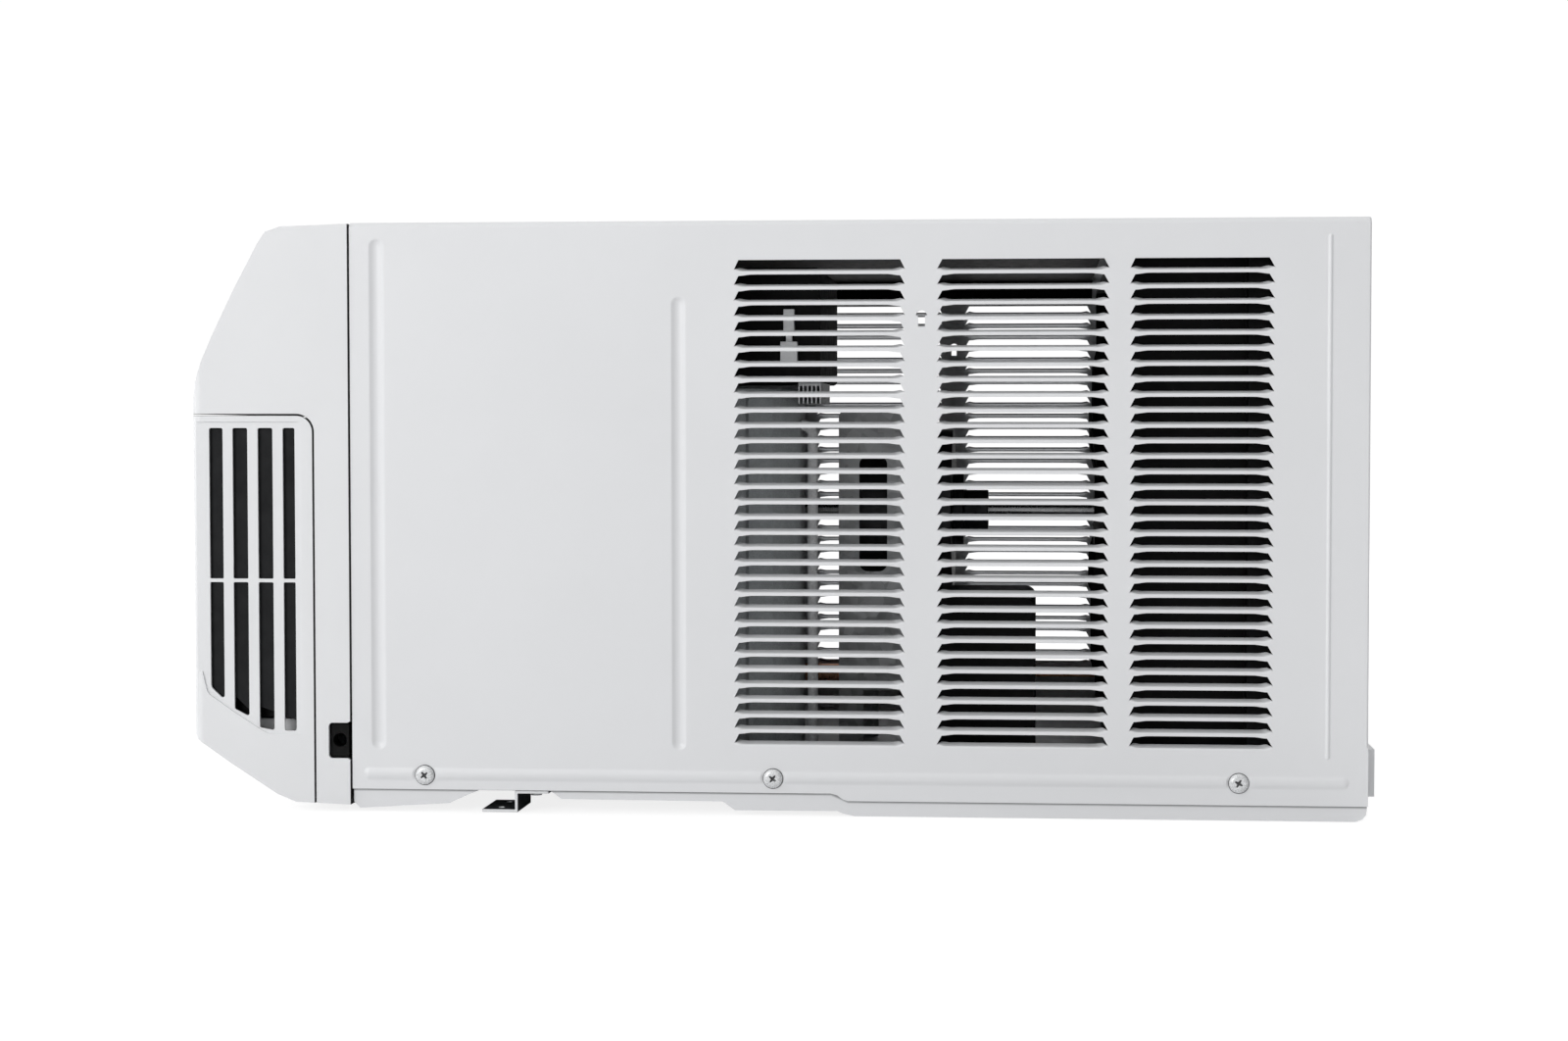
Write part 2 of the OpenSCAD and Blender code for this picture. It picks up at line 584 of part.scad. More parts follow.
// ---------- sealed system ----------
CX = 190;
CY = -61;
module compressor() color(black) {
  translate([CX, CY, 26]) cylinder(r = 58, h = 226);
  translate([CX, CY, 251.9]) cylinder(r1 = 58, r2 = 46, h = 8);
  translate([CX, CY, 259.8]) cylinder(r1 = 46, r2 = 20, h = 5);
  difference() {
    translate([0, 0, 20]) linear_extrude(6.1) {
      translate([CX, CY]) circle(48);
      for (a = [90, 210, 330]) translate([CX + 72 * cos(a), CY + 72 * sin(a)]) circle(12);
      for (a = [90, 210, 330]) translate([CX, CY]) rotate(a) translate([0, -12]) square([72, 24]);
    }
    for (a = [90, 210, 330]) translate([CX + 72 * cos(a), CY + 72 * sin(a), 19]) cylinder(r = 5.2, h = 9);
  }
}
module compressor_jacket() color(grey) difference() {
  union() {
    translate([CX, CY, 34]) cylinder(r = 70, h = 240);
    // overlap flap along the seam
    translate([CX, CY, 40]) rotate([0, 0, 40]) translate([66, -10, 0]) cube([6.5, 20, 228]);
  }
  translate([CX, CY, 33]) cylinder(r = 59.5, h = 234);
}
module compressor_grommets() color(black) for (a = [90, 210, 330]) {
  // the pan floor is lower under the rear foot
  z0 = a == 90 ? 4.9 : 10.6;
  translate([CX + 72 * cos(a), CY + 72 * sin(a), 0]) difference() {
    union() {
      translate([0, 0, z0]) cylinder(r = 9, h = 19.8 - z0);
      translate([0, 0, 19]) cylinder(r = 5, h = 9);
      translate([0, 0, 26.3]) cylinder(r = 8, h = 3);
    }
    translate([0, 0, -1]) cylinder(r = 3, h = 40);
  }
}
module suction_tube() color(copper) pipe([[263.6, -329, 66], [282, -329, 66], [282, -61, 66], [260.3, -61, 66]], 6);
module discharge_tube() color(copper) pipe([[205, 8.2, 250], [205, 16, 250], [205, 16, 33], [276, 16, 33], [276, 324, 33], [263.6, 324, 33]], 3.6);
module liquid_tube() color(copper) {
  pipe([[-263.6, 324, 36], [-282, 324, 36], [-282, -296, 36], [-282, -296, 70], [-282, -329, 70], [-263.6, -329, 70]], 2);
  cyl_y(-282, 36, -60, 10, 8);
}

// ---------- electrics ----------
module control_box() color(black) difference() {
  along_x(124, 262) rrect(-112, 278, 26, 352, 3);
  bx([126, -110, 280], [260, 24, 360]);
}
module heat_sink() color(alu) {
  bx([182, 10.6, 275.6], [250, 25.6, 277.8]);
  for (i = [0:5]) bx([182, 10.6 + i * 2.8, 264], [250, 11.6 + i * 2.8, 275.8]);
}
module power_board() color([0.05, 0.25, 0.14]) {
  bx([130, -104, 286], [256, 18, 287.6]);
  translate([230, -80, 287.5]) cylinder(r = 11, h = 32);
  translate([200, -80, 287.5]) cylinder(r = 11, h = 32);
  bx([140, -60, 287.5], [170, -30, 310]);
  bx([190, -40, 287.5], [240, 0, 300]);
}
module inverter_box() color(black) difference() {
  along_x(112, 250) rrect(88, 4, 166, 137, 7);
  along_x(114, 248) rrect(90.4, 6.4, 163.6, 134.6, 5);
  // cable entry
  cyl_x(127, 112, 111, 115, 8);
}
module coil_sensor() color(copper) {
  cyl_x(-357, 200, -165, -130, 2.8);
  bx([-151, -357, 197.8], [-145, -350.1, 202.2]);
}
module drain_plug() color(dark) {
  translate([-200, 290, 0.1]) cylinder(r = 7.9, h = 2);
  translate([-200, 290, 1.7]) cylinder(r = 11, h = 3);
}
module wire_connector() color(white) {
  bx([262.1, 0.5, 291], [267.5, 11.5, 304]);
  bx([262.1, 2.5, 308], [267, 9.5, 325]);
  bx([262.1, 4, 303], [265, 8, 309]);
}

cabinet_wrap();
cabinet_screws();
base_pan();
bracket_left();
bracket_right();
bracket_screws();
rear_guard();
front_frame();
intake_panel();
filter_frame();
filter_mesh();
control_panel();
display_lens();
display_board();
button_power();
button_mode();
button_fan_speed();
button_up();
button_down();
button_timer();
button_energy_saver();
louvre_housing();
horizontal_vane_1();
horizontal_vane_2();
horizontal_vane_3();
horizontal_link();
vertical_vane_1();
vertical_vane_2();
vertical_vane_3();
vertical_vane_4();
vertical_vane_5();
vertical_vane_6();
vertical_tie_bar();
swing_motor();
cord_gland();
evaporator_coil();
evaporator_bends();
blower_scroll();
blower_wheel();
bulkhead();
fan_motor();
motor_bracket();
fan_shaft();
condenser_fan();
union() { condenser_shroud(); shroud_shields(); }
condenser_coil();
condenser_bends();
compressor();
compressor_jacket();
compressor_grommets();
suction_tube();
discharge_tube();
liquid_tube();
control_box();
heat_sink();
power_board();
inverter_box();
coil_sensor();
drain_plug();
wire_connector();
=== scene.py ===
import json
import math
import random

import bmesh
import bpy
from mathutils import Matrix, Vector
from mathutils.geometry import delaunay_2d_cdt


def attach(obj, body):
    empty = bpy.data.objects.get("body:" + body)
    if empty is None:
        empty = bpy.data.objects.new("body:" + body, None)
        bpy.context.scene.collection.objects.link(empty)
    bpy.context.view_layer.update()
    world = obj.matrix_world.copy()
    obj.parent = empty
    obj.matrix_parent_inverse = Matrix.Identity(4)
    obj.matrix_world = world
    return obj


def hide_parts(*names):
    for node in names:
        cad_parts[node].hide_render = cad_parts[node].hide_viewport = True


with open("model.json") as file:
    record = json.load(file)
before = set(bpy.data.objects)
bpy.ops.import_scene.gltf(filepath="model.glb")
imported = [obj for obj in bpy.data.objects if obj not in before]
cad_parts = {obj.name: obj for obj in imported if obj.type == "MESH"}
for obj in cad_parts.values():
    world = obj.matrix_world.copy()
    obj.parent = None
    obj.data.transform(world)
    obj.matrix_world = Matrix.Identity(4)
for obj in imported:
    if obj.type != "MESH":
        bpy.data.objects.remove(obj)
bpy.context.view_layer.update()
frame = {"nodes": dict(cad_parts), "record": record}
NODES = frame["nodes"]
MM = 0.001
scene = bpy.context.scene
scene.view_settings.view_transform = "Standard"
scene.view_settings.look = "None"

# ------------------------------------------------------------------ camera
cam = bpy.data.objects.new("camera", bpy.data.cameras.new("camera"))
scene.collection.objects.link(cam)
cam.location = (1.8857, 0.1692, 0.2449)
YAW, PITCH = math.radians(4.297), math.radians(-2.007)
look = Vector((-math.cos(YAW) * math.cos(PITCH), -math.sin(YAW) * math.cos(PITCH), math.sin(PITCH)))
cam.rotation_mode = "QUATERNION"
cam.rotation_quaternion = look.to_track_quat("-Z", "Y")
cam.data.sensor_width = 36
cam.data.lens = 57.47
cam.data.shift_x = -0.04375
cam.data.clip_start = 0.05
cam.data.clip_end = 100
scene.camera = cam


# ------------------------------------------------------------------ node helpers
class Mat:
    """A Principled material on object coordinates, in metres in the row frame."""

    def __init__(self, name):
        self.m = bpy.data.materials.new(name)
        self.m.use_nodes = True
        self.nt = self.m.node_tree
        self.b = self.nt.nodes["Principled BSDF"]
        self.tc = self.nt.nodes.new("ShaderNodeTexCoord")
        self.normal = None

    def new(self, kind, **sock):
        n = self.nt.nodes.new(kind)
        for k, v in sock.items():
            n.inputs[k.replace("_", " ")].default_value = v
        return n

    def link(self, a, b):
        self.nt.links.new(a, b)

    def coords(self, scale=(1, 1, 1)):
        mp = self.nt.nodes.new("ShaderNodeMapping")
        mp.inputs["Scale"].default_value = scale
        self.link(self.tc.outputs["Object"], mp.inputs["Vector"])
        return mp.outputs["Vector"]

    def noise(self, scale, detail=3.0, rough=0.5, stretch=(1, 1, 1), distortion=0.0):
        n = self.nt.nodes.new("ShaderNodeTexNoise")
        n.inputs["Scale"].default_value = scale
        n.inputs["Detail"].default_value = detail
        n.inputs["Roughness"].default_value = rough
        n.inputs["Distortion"].default_value = distortion
        self.link(self.coords(stretch), n.inputs["Vector"])
        return n.outputs["Fac"]

    def voronoi(self, scale, feature="F1", stretch=(1, 1, 1), out="Distance"):
        n = self.nt.nodes.new("ShaderNodeTexVoronoi")
        n.feature = feature
        n.inputs["Scale"].default_value = scale
        self.link(self.coords(stretch), n.inputs["Vector"])
        return n.outputs[out]

    def wave(self, scale, axis="X", distortion=0.0, profile="SIN"):
        n = self.nt.nodes.new("ShaderNodeTexWave")
        n.wave_type = "BANDS"
        n.bands_direction = axis
        n.wave_profile = profile
        n.inputs["Scale"].default_value = scale
        n.inputs["Distortion"].default_value = distortion
        self.link(self.coords(), n.inputs["Vector"])
        return n.outputs["Fac"]

    def ramp(self, fac, stops):
        r = self.nt.nodes.new("ShaderNodeValToRGB")
        els = r.color_ramp.elements
        while len(els) < len(stops):
            els.new(0.5)
        for e, (p, c) in zip(els, stops):
            e.position = p
            e.color = (*c, 1) if len(c) == 3 else c
        self.link(fac, r.inputs["Fac"])
        return r.outputs["Color"]

    def remap(self, fac, a, b, lo=0.0, hi=1.0):
        n = self.nt.nodes.new("ShaderNodeMapRange")
        n.inputs["From Min"].default_value = lo
        n.inputs["From Max"].default_value = hi
        n.inputs["To Min"].default_value = a
        n.inputs["To Max"].default_value = b
        self.link(fac, n.inputs["Value"])
        return n.outputs["Result"]

    def mix(self, fac, a, b, mode="MIX"):
        n = self.nt.nodes.new("ShaderNodeMix")
        n.data_type = "RGBA"
        n.blend_type = mode
        if isinstance(fac, float):
            n.inputs[0].default_value = fac
        else:
            self.link(fac, n.inputs[0])
        for k, v in ((6, a), (7, b)):
            if isinstance(v, tuple):
                n.inputs[k].default_value = (*v, 1) if len(v) == 3 else v
            else:
                self.link(v, n.inputs[k])
        return n.outputs[2]

    def math(self, op, a, b=0.0, c=None):
        n = self.nt.nodes.new("ShaderNodeMath")
        n.operation = op
        for k, v in enumerate((a, b) if c is None else (a, b, c)):
            if isinstance(v, (int, float)):
                n.inputs[k].default_value = v
            else:
                self.link(v, n.inputs[k])
        return n.outputs[0]

    def color(self, v):
        if isinstance(v, tuple):
            self.b.inputs["Base Color"].default_value = (*v, 1)
        else:
            self.link(v, self.b.inputs["Base Color"])

    def rough(self, v):
        if isinstance(v, float):
            self.b.inputs["Roughness"].default_value = v
        else:
            self.link(v, self.b.inputs["Roughness"])

    def bump(self, height, dist, strength=1.0):
        n = self.nt.nodes.new("ShaderNodeBump")
        n.inputs["Strength"].default_value = strength
        n.inputs["Distance"].default_value = dist
        self.link(height, n.inputs["Height"])
        if self.normal is not None:
            self.link(self.normal, n.inputs["Normal"])
        self.normal = n.outputs["Normal"]
        self.link(self.normal, self.b.inputs["Normal"])

    def put(self, **kw):
        for k, v in kw.items():
            self.b.inputs[k.replace("_", " ")].default_value = v


def srgb(r, g, b):
    f = lambda c: (c / 255 / 12.92) if c / 255 <= 0.04045 else ((c / 255 + 0.055) / 1.055) ** 2.4
    return (f(r), f(g), f(b))


# ------------------------------------------------------------------ materials
MATS = {}


def paint(name, base, rough=(0.34, 0.44), peel=0.00002, spec=0.5, var=0.012):
    """Powder coat: an even colour, a fine orange peel and faint handling variation."""
    m = Mat(name)
    big = m.noise(9, 2)
    lo = tuple(c * (1 - var) for c in base)
    hi = tuple(min(c * (1 + var), 1) for c in base)
    m.color(m.ramp(big, [(0.3, lo), (0.7, hi)]))
    m.rough(m.remap(m.noise(60, 3), rough[0], rough[1], 0.3, 0.7))
    m.bump(m.noise(900, 2, 0.45), peel)
    m.put(IOR=1.5, Specular_IOR_Level=spec)
    MATS[name] = m.m
    return m


def plastic(name, base, rough=(0.38, 0.5), grain=0.000018, scale=2600, var=0.01, spec=0.45):
    """Moulded plastic with a fine spark-eroded grain."""
    m = Mat(name)
    lo = tuple(c * (1 - var) for c in base)
    hi = tuple(min(c * (1 + var), 1) for c in base)
    m.color(m.ramp(m.noise(14, 2), [(0.3, lo), (0.7, hi)]))
    m.rough(m.remap(m.noise(120, 3), rough[0], rough[1], 0.3, 0.7))
    m.bump(m.noise(scale, 3, 0.6), grain)
    m.put(IOR=1.46, Specular_IOR_Level=spec)
    MATS[name] = m.m
    return m


WHITE = (0.780, 0.788, 0.802)
paint("white_paint", WHITE)
plastic("white_plastic", (0.785, 0.793, 0.805))


def shell():
    """The front's plastic, darkened along its shut lines to stand for the shadow in the gap."""
    m = Mat("shell_plastic")
    base = (0.785, 0.793, 0.805)
    lo = tuple(c * 0.99 for c in base)
    hi = tuple(min(c * 1.01, 1) for c in base)
    col = m.ramp(m.noise(14, 2), [(0.3, lo), (0.7, hi)])
    sx = m.nt.nodes.new("ShaderNodeSeparateXYZ")
    m.link(m.tc.outputs["Object"], sx.inputs[0])
    y, z = sx.outputs["Y"], sx.outputs["Z"]
    dy = m.math("ADD", y, 0.31041)
    dz = m.math("ADD", z, -0.245285)
    a = m.math("MAXIMUM", dy, 0.0)
    b = m.math("MAXIMUM", dz, 0.0)
    ln = m.math("SQRT", m.math("ADD", m.math("MULTIPLY", a, a), m.math("MULTIPLY", b, b)))
    sdf = m.math("ADD", m.math("ADD", ln, m.math("MINIMUM", m.math("MAXIMUM", dy, dz), 0.0)), -0.01119)
    line = m.remap(m.math("ABSOLUTE", sdf), 1.0, 0.0, 0.00062, 0.00074)
    # the same on the edge that meets the sheet metal
    edge = m.remap(y, 0.0, 1.0, -0.27625, -0.27610)
    dark = m.math("MAXIMUM", line, edge)
    m.color(m.mix(dark, col, (0.010, 0.010, 0.011)))
    m.rough(m.remap(m.noise(120, 3), 0.38, 0.5, 0.3, 0.7))
    m.bump(m.noise(2600, 3, 0.6), 0.000018)
    m.put(IOR=1.46, Specular_IOR_Level=0.45)
    return m.m


SHELL = shell()


def pan():
    """The pan's powder coat, darkened just under the wrap to stand for the shadow there."""
    m = Mat("pan_paint")
    lo = tuple(c * 0.985 for c in WHITE)
    hi = tuple(min(c * 1.01, 1) for c in WHITE)
    col = m.ramp(m.noise(9, 2), [(0.3, lo), (0.7, hi)])
    sx = m.nt.nodes.new("ShaderNodeSeparateXYZ")
    m.link(m.tc.outputs["Object"], sx.inputs[0])
    y, z = sx.outputs["Y"], sx.outputs["Z"]
    edge = m.remap(y, 0.0145, 0.0098, 0.036, 0.047)
    near = m.remap(m.math("SUBTRACT", z, edge), 0.0, 1.0, -0.0019, -0.0006)
    side = m.remap(m.math("ABSOLUTE", sx.outputs["X"]), 0.0, 1.0, 0.2950, 0.2965)
    front = m.remap(y, 0.0, 1.0, -0.2744, -0.2736)
    # painted shadow: the pan is darkened in a thin band just under the wrap's bottom edge
    under_wrap_shadow = m.math("MULTIPLY", m.math("MULTIPLY", near, side), m.remap(front, 0.75, 0.62))
    m.color(m.mix(under_wrap_shadow, col, (0.10, 0.10, 0.105)))
    m.rough(m.remap(m.noise(60, 3), 0.34, 0.44, 0.3, 0.7))
    m.bump(m.noise(900, 2, 0.45), 0.00002)
    m.put(IOR=1.5, Specular_IOR_Level=0.5)
    return m.m


PAN = pan()
plastic("button_plastic", (0.76, 0.768, 0.78), rough=(0.3, 0.4))
plastic("dark_plastic", (0.0062, 0.0066, 0.0076), rough=(0.5, 0.66), grain=0.00003, var=0.2, spec=0.22)
plastic("black_plastic", (0.0035, 0.0035, 0.0038), rough=(0.55, 0.7), grain=0.00004, var=0.25, spec=0.14)

m = Mat("screw_paint")
m.color(m.ramp(m.noise(420, 3), [(0.35, (0.70, 0.71, 0.72)), (0.65, (0.82, 0.83, 0.84))]))
m.rough(m.remap(m.noise(900, 3), 0.18, 0.38, 0.3, 0.7))
m.bump(m.noise(1500, 2), 0.00003)
m.put(Metallic=0.25, IOR=1.6)
MATS["screw_paint"] = m.m

m = Mat("zinc_steel")
cell = m.voronoi(160, out="Color")
sep = m.nt.nodes.new("ShaderNodeSeparateColor")
m.link(cell, sep.inputs[0])
m.color(m.ramp(sep.outputs[0], [(0.0, (0.40, 0.41, 0.42)), (1.0, (0.56, 0.57, 0.58))]))
m.rough(m.remap(sep.outputs[1], 0.3, 0.5))
m.bump(m.noise(260, 4), 0.00005)
m.put(Metallic=0.55)
MATS["zinc_steel"] = m.m

m = Mat("aluminium_shell")
m.color(m.ramp(m.noise(70, 4, stretch=(1, 1, 6)), [(0.3, (0.50, 0.51, 0.52)), (0.7, (0.66, 0.67, 0.68))]))
m.rough(m.remap(m.noise(300, 3), 0.32, 0.5, 0.3, 0.7))
m.bump(m.noise(700, 3), 0.00003)
m.put(Metallic=0.95)
MATS["aluminium_shell"] = m.m

m = Mat("motor_steel")
m.color(m.ramp(m.noise(90, 5), [(0.3, (0.030, 0.031, 0.034)), (0.7, (0.055, 0.057, 0.061))]))
m.rough(m.remap(m.noise(220, 4), 0.35, 0.55, 0.3, 0.7))
m.bump(m.noise(800, 3), 0.00004)
m.put(Metallic=0.4)
MATS["motor_steel"] = m.m

m = Mat("shaft_steel")
m.color(m.ramp(m.noise(180, 3, stretch=(1, 0.05, 1)), [(0.3, (0.52, 0.53, 0.54)), (0.7, (0.66, 0.67, 0.68))]))
m.rough(m.remap(m.noise(400, 3, stretch=(1, 8, 1)), 0.16, 0.3, 0.3, 0.7))
m.bump(m.wave(900, "Y"), 0.000006)
m.put(Metallic=1.0)
MATS["shaft_steel"] = m.m

paint("compressor_paint", (0.016, 0.016, 0.017), rough=(0.28, 0.45), peel=0.00005, var=0.2)

m = Mat("copper")
m.color(m.ramp(m.noise(55, 5, 0.6), [(0.25, (0.42, 0.19, 0.10)), (0.5, (0.72, 0.36, 0.22)), (0.8, (0.80, 0.45, 0.30))]))
m.rough(m.remap(m.noise(160, 4), 0.2, 0.42, 0.3, 0.7))
m.bump(m.noise(500, 3), 0.00003)
m.put(Metallic=1.0)
MATS["copper"] = m.m

m = Mat("fins")
m.color(m.ramp(m.noise(40, 5, stretch=(3, 1, 1)), [(0.3, (0.50, 0.52, 0.54)), (0.7, (0.68, 0.70, 0.72))]))
m.rough(m.remap(m.noise(300, 3), 0.35, 0.55, 0.3, 0.7))
m.bump(m.noise(900, 3, stretch=(1, 1, 0.3)), 0.00005)
m.put(Metallic=0.85)
MATS["fins"] = m.m

m = Mat("black_rubber")
m.color(m.ramp(m.noise(120, 4), [(0.3, (0.003, 0.003, 0.003)), (0.7, (0.007, 0.007, 0.007))]))
m.rough(m.remap(m.noise(240, 4), 0.62, 0.85, 0.3, 0.7))
m.bump(m.noise(1400, 3), 0.00005)
m.put(Specular_IOR_Level=0.15)
MATS["black_rubber"] = m.m

m = Mat("grey_felt")
fib = m.noise(900, 6, 0.75, distortion=1.5)
blot = m.noise(130, 5, 0.7)
m.color(m.mix(0.45, m.ramp(fib, [(0.3, (0.24, 0.262, 0.272)), (0.7, (0.68, 0.715, 0.73))]), m.ramp(blot, [(0.3, (0.44, 0.465, 0.478)), (0.7, (0.62, 0.65, 0.662))])))
m.rough(m.remap(fib, 0.85, 1.0, 0.3, 0.7))
m.bump(fib, 0.0006, 0.8)
m.put(Sheen_Weight=0.25, Sheen_Roughness=0.5, Specular_IOR_Level=0.2)
MATS["grey_felt"] = m.m

m = Mat("pipe_foam")
cellf = m.voronoi(900)
m.color(m.ramp(cellf, [(0.0, (0.66, 0.665, 0.67)), (0.6, (0.86, 0.865, 0.87))]))
m.rough(m.remap(m.noise(300, 4), 0.75, 0.95, 0.3, 0.7))
m.bump(cellf, 0.0003, 0.8)
m.put(Specular_IOR_Level=0.2)
MATS["pipe_foam"] = m.m

m = Mat("bracket_steel")
geo = m.nt.nodes.new("ShaderNodeNewGeometry")
sn = m.nt.nodes.new("ShaderNodeSeparateXYZ")
m.link(geo.outputs["True Normal"], sn.inputs[0])
# painted light and shade by facing: faces turned to ±X are painted near white as lit, all other faces dark as shaded
cut = m.remap(m.math("ABSOLUTE", sn.outputs["X"]), 0.0, 1.0, 0.6, 0.8)
m.color(m.mix(cut, m.ramp(m.noise(200, 4), [(0.3, (0.020, 0.021, 0.024)), (0.7, (0.045, 0.047, 0.052))]), (0.82, 0.83, 0.84)))
m.rough(m.remap(m.noise(400, 3), 0.3, 0.5, 0.3, 0.7))
m.bump(m.noise(800, 3), 0.00003)
m.put(Metallic=0.2)
BRACKET = m.m

m = Mat("grey_foam")
cellf = m.voronoi(520)
m.color(m.ramp(cellf, [(0.0, (0.10, 0.105, 0.11)), (0.5, (0.26, 0.265, 0.27))]))
m.rough(m.remap(m.noise(300, 4), 0.8, 0.98, 0.3, 0.7))
m.bump(cellf, 0.0005, 0.9)
m.put(Specular_IOR_Level=0.2)
MATS["grey_foam"] = m.m

m = Mat("circuit_board")
br = m.nt.nodes.new("ShaderNodeTexBrick")
br.inputs["Scale"].default_value = 130
br.inputs["Mortar Size"].default_value = 0.04
br.inputs["Color1"].default_value = (0.008, 0.085, 0.035, 1)
br.inputs["Color2"].default_value = (0.012, 0.11, 0.05, 1)
br.inputs["Mortar"].default_value = (0.35, 0.30, 0.12, 1)
m.link(m.coords(), br.inputs["Vector"])
m.color(m.mix(m.noise(60, 3), br.outputs["Color"], (0.008, 0.07, 0.03)))
m.rough(m.remap(m.noise(350, 3), 0.25, 0.4, 0.3, 0.7))
m.bump(br.outputs["Fac"], 0.00004)
MATS["circuit_board"] = m.m

m = Mat("lens")
m.color(m.ramp(m.noise(30, 2), [(0.3, (0.010, 0.011, 0.013)), (0.7, (0.016, 0.017, 0.020))]))
m.rough(m.remap(m.noise(220, 3), 0.04, 0.10, 0.3, 0.7))
m.bump(m.noise(2400, 2), 0.000003)
m.put(IOR=1.49, Coat_Weight=0.5, Coat_Roughness=0.04)
MATS["lens"] = m.m

m = Mat("filter_net")
wx = m.wave(400, "X")
wz = m.wave(400, "Z")
net = m.math("MAXIMUM", wx, wz)
m.color(m.ramp(net, [(0.4, (0.020, 0.021, 0.022)), (0.8, (0.075, 0.078, 0.082))]))
m.rough(m.remap(net, 0.75, 0.55))
m.bump(net, 0.0003)
MATS["filter_net"] = m.m


SLOT_OF = {p["node"]: p["material_slot"] for p in frame["record"]["subparts"]}


# ------------------------------------------------------------------ mesh helpers
def add(name, verts, faces, slot, body="root", replaces=(), smooth=True, scale=MM, mat=None):
    me = bpy.data.meshes.new(name)
    me.from_pydata([tuple(c * scale for c in v) for v in verts], [], faces)
    me.update()
    return place(name, me, slot, body, replaces, smooth, mat)


def place(name, me, slot, body="root", replaces=(), smooth=True, mat=None):
    ob = bpy.data.objects.new(name, me)
    scene.collection.objects.link(ob)
    me.materials.clear()
    me.materials.append(mat or MATS[slot])
    if smooth:
        me.polygons.foreach_set("use_smooth", [True] * len(me.polygons))
    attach(ob, body)
    if replaces:
        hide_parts(*replaces)
    return ob


def bevel(ob, width, segments=2, angle=35, weld=False, dissolve=False, profile=0.5):
    if weld:
        w = ob.modifiers.new("weld", "WELD")
        w.merge_threshold = 0.000004
    if dissolve:
        d = ob.modifiers.new("planar", "DECIMATE")
        d.decimate_type = "DISSOLVE"
        d.angle_limit = math.radians(0.6)
    b = ob.modifiers.new("bevel", "BEVEL")
    b.width = width
    b.segments = segments
    b.limit_method = "ANGLE"
    b.angle_limit = math.radians(angle)
    b.use_clamp_overlap = True
    b.profile = profile
    n = ob.modifiers.new("normals", "WEIGHTED_NORMAL")
    n.keep_sharp = False
    n.weight = 100


def merge(parts):
    """Joins (verts, faces) lists into one."""
    V, F = [], []
    for v, f in parts:
        k = len(V)
        V += v
        F += [tuple(i + k for i in g) for g in f]
    return V, F


def tube(points, r, bend=None, seg=14, close=True):
    """A round tube along a polyline whose corners are filleted with radius bend (mm)."""
    P = [Vector(p) for p in points]
    bend = bend or 3.5 * r
    path = [P[0]]
    for i in range(1, len(P) - 1):
        a, b = (P[i - 1] - P[i]), (P[i + 1] - P[i])
        la, lb = a.length, b.length
        a.normalize()
        b.normalize()
        ang = a.angle(b)
        t = bend / math.tan(ang / 2)
        t = min(t, la * 0.49 if i > 1 else la * 0.95, lb * 0.49 if i < len(P) - 2 else lb * 0.95)
        rr = t * math.tan(ang / 2)
        c = P[i] + (a + b).normalized() * (rr / math.sin(ang / 2))
        s0, s1 = P[i] + a * t - c, P[i] + b * t - c
        tot = s0.angle(s1)
        ax = s0.cross(s1).normalized()
        n = max(4, int(math.degrees(tot) / 11))
        for k in range(n + 1):
            path.append(c + Matrix.Rotation(tot * k / n, 3, ax) @ s0)
    path.append(P[-1])
    V, F = [], []
    prev = None
    for i, p in enumerate(path):
        d = (path[min(i + 1, len(path) - 1)] - path[max(i - 1, 0)]).normalized()
        if prev is None:
            u = d.orthogonal().normalized()
        else:
            u = (prev - d * prev.dot(d)).normalized()
        prev = u
        w = d.cross(u)
        for k in range(seg):
            a = 2 * math.pi * k / seg
            V.append(tuple(p + (u * math.cos(a) + w * math.sin(a)) * r))
    for i in range(len(path) - 1):
        for k in range(seg):
            k2 = (k + 1) % seg
            F.append((i * seg + k, i * seg + k2, (i + 1) * seg + k2, (i + 1) * seg + k))
    if close:
        F.append(tuple(reversed(range(seg))))
        F.append(tuple(range((len(path) - 1) * seg, len(path) * seg)))
    return V, F


def spin(profile, centre, axis, seg=48, caps=(False, False)):
    """Revolves (radius, along) pairs about an axis through centre."""
    ax = Vector(axis).normalized()
    u = ax.orthogonal().normalized()
    w = ax.cross(u)
    V, F = [], []
    for r, t in profile:
        for k in range(seg):
            a = 2 * math.pi * k / seg
            V.append(tuple(Vector(centre) + ax * t + (u * math.cos(a) + w * math.sin(a)) * max(r, 1e-4)))
    n = len(profile)
    for i in range(n - 1):
        for k in range(seg):
            k2 = (k + 1) % seg
            F.append((i * seg + k, i * seg + k2, (i + 1) * seg + k2, (i + 1) * seg + k))
    if caps[0]:
        F.append(tuple(reversed(range(seg))))
    if caps[1]:
        F.append(tuple(range((n - 1) * seg, n * seg)))
    return V, F


def boxm(a, b):
    (x0, y0, z0), (x1, y1, z1) = a, b
    V = [(x0, y0, z0), (x1, y0, z0), (x1, y1, z0), (x0, y1, z0), (x0, y0, z1), (x1, y0, z1), (x1, y1, z1), (x0, y1, z1)]
    F = [(0, 3, 2, 1), (4, 5, 6, 7), (0, 1, 5, 4), (1, 2, 6, 5), (2, 3, 7, 6), (3, 0, 4, 7)]
    return V, F


def s01(t):
    t = max(0.0, min(1.0, t))
    return t * t * (3 - 2 * t)


# ------------------------------------------------------------------ cabinet wrap
HW, H, WR, YF, YR = 299.0, 380.0, 4.0, -275.0, 375.0
SHEET = 1.2
ROWS, PITCH = 32, 9.742
COLS = [(-26.3, 83.6, -23.0, 80.1), (103.1, 212.6, 106.8, 208.9), (224.8, 315.9, 228.2, 311.9)]
SCREW_Y = (-227.3, -1.1, 294.3)
SCREW_Z = 23.8
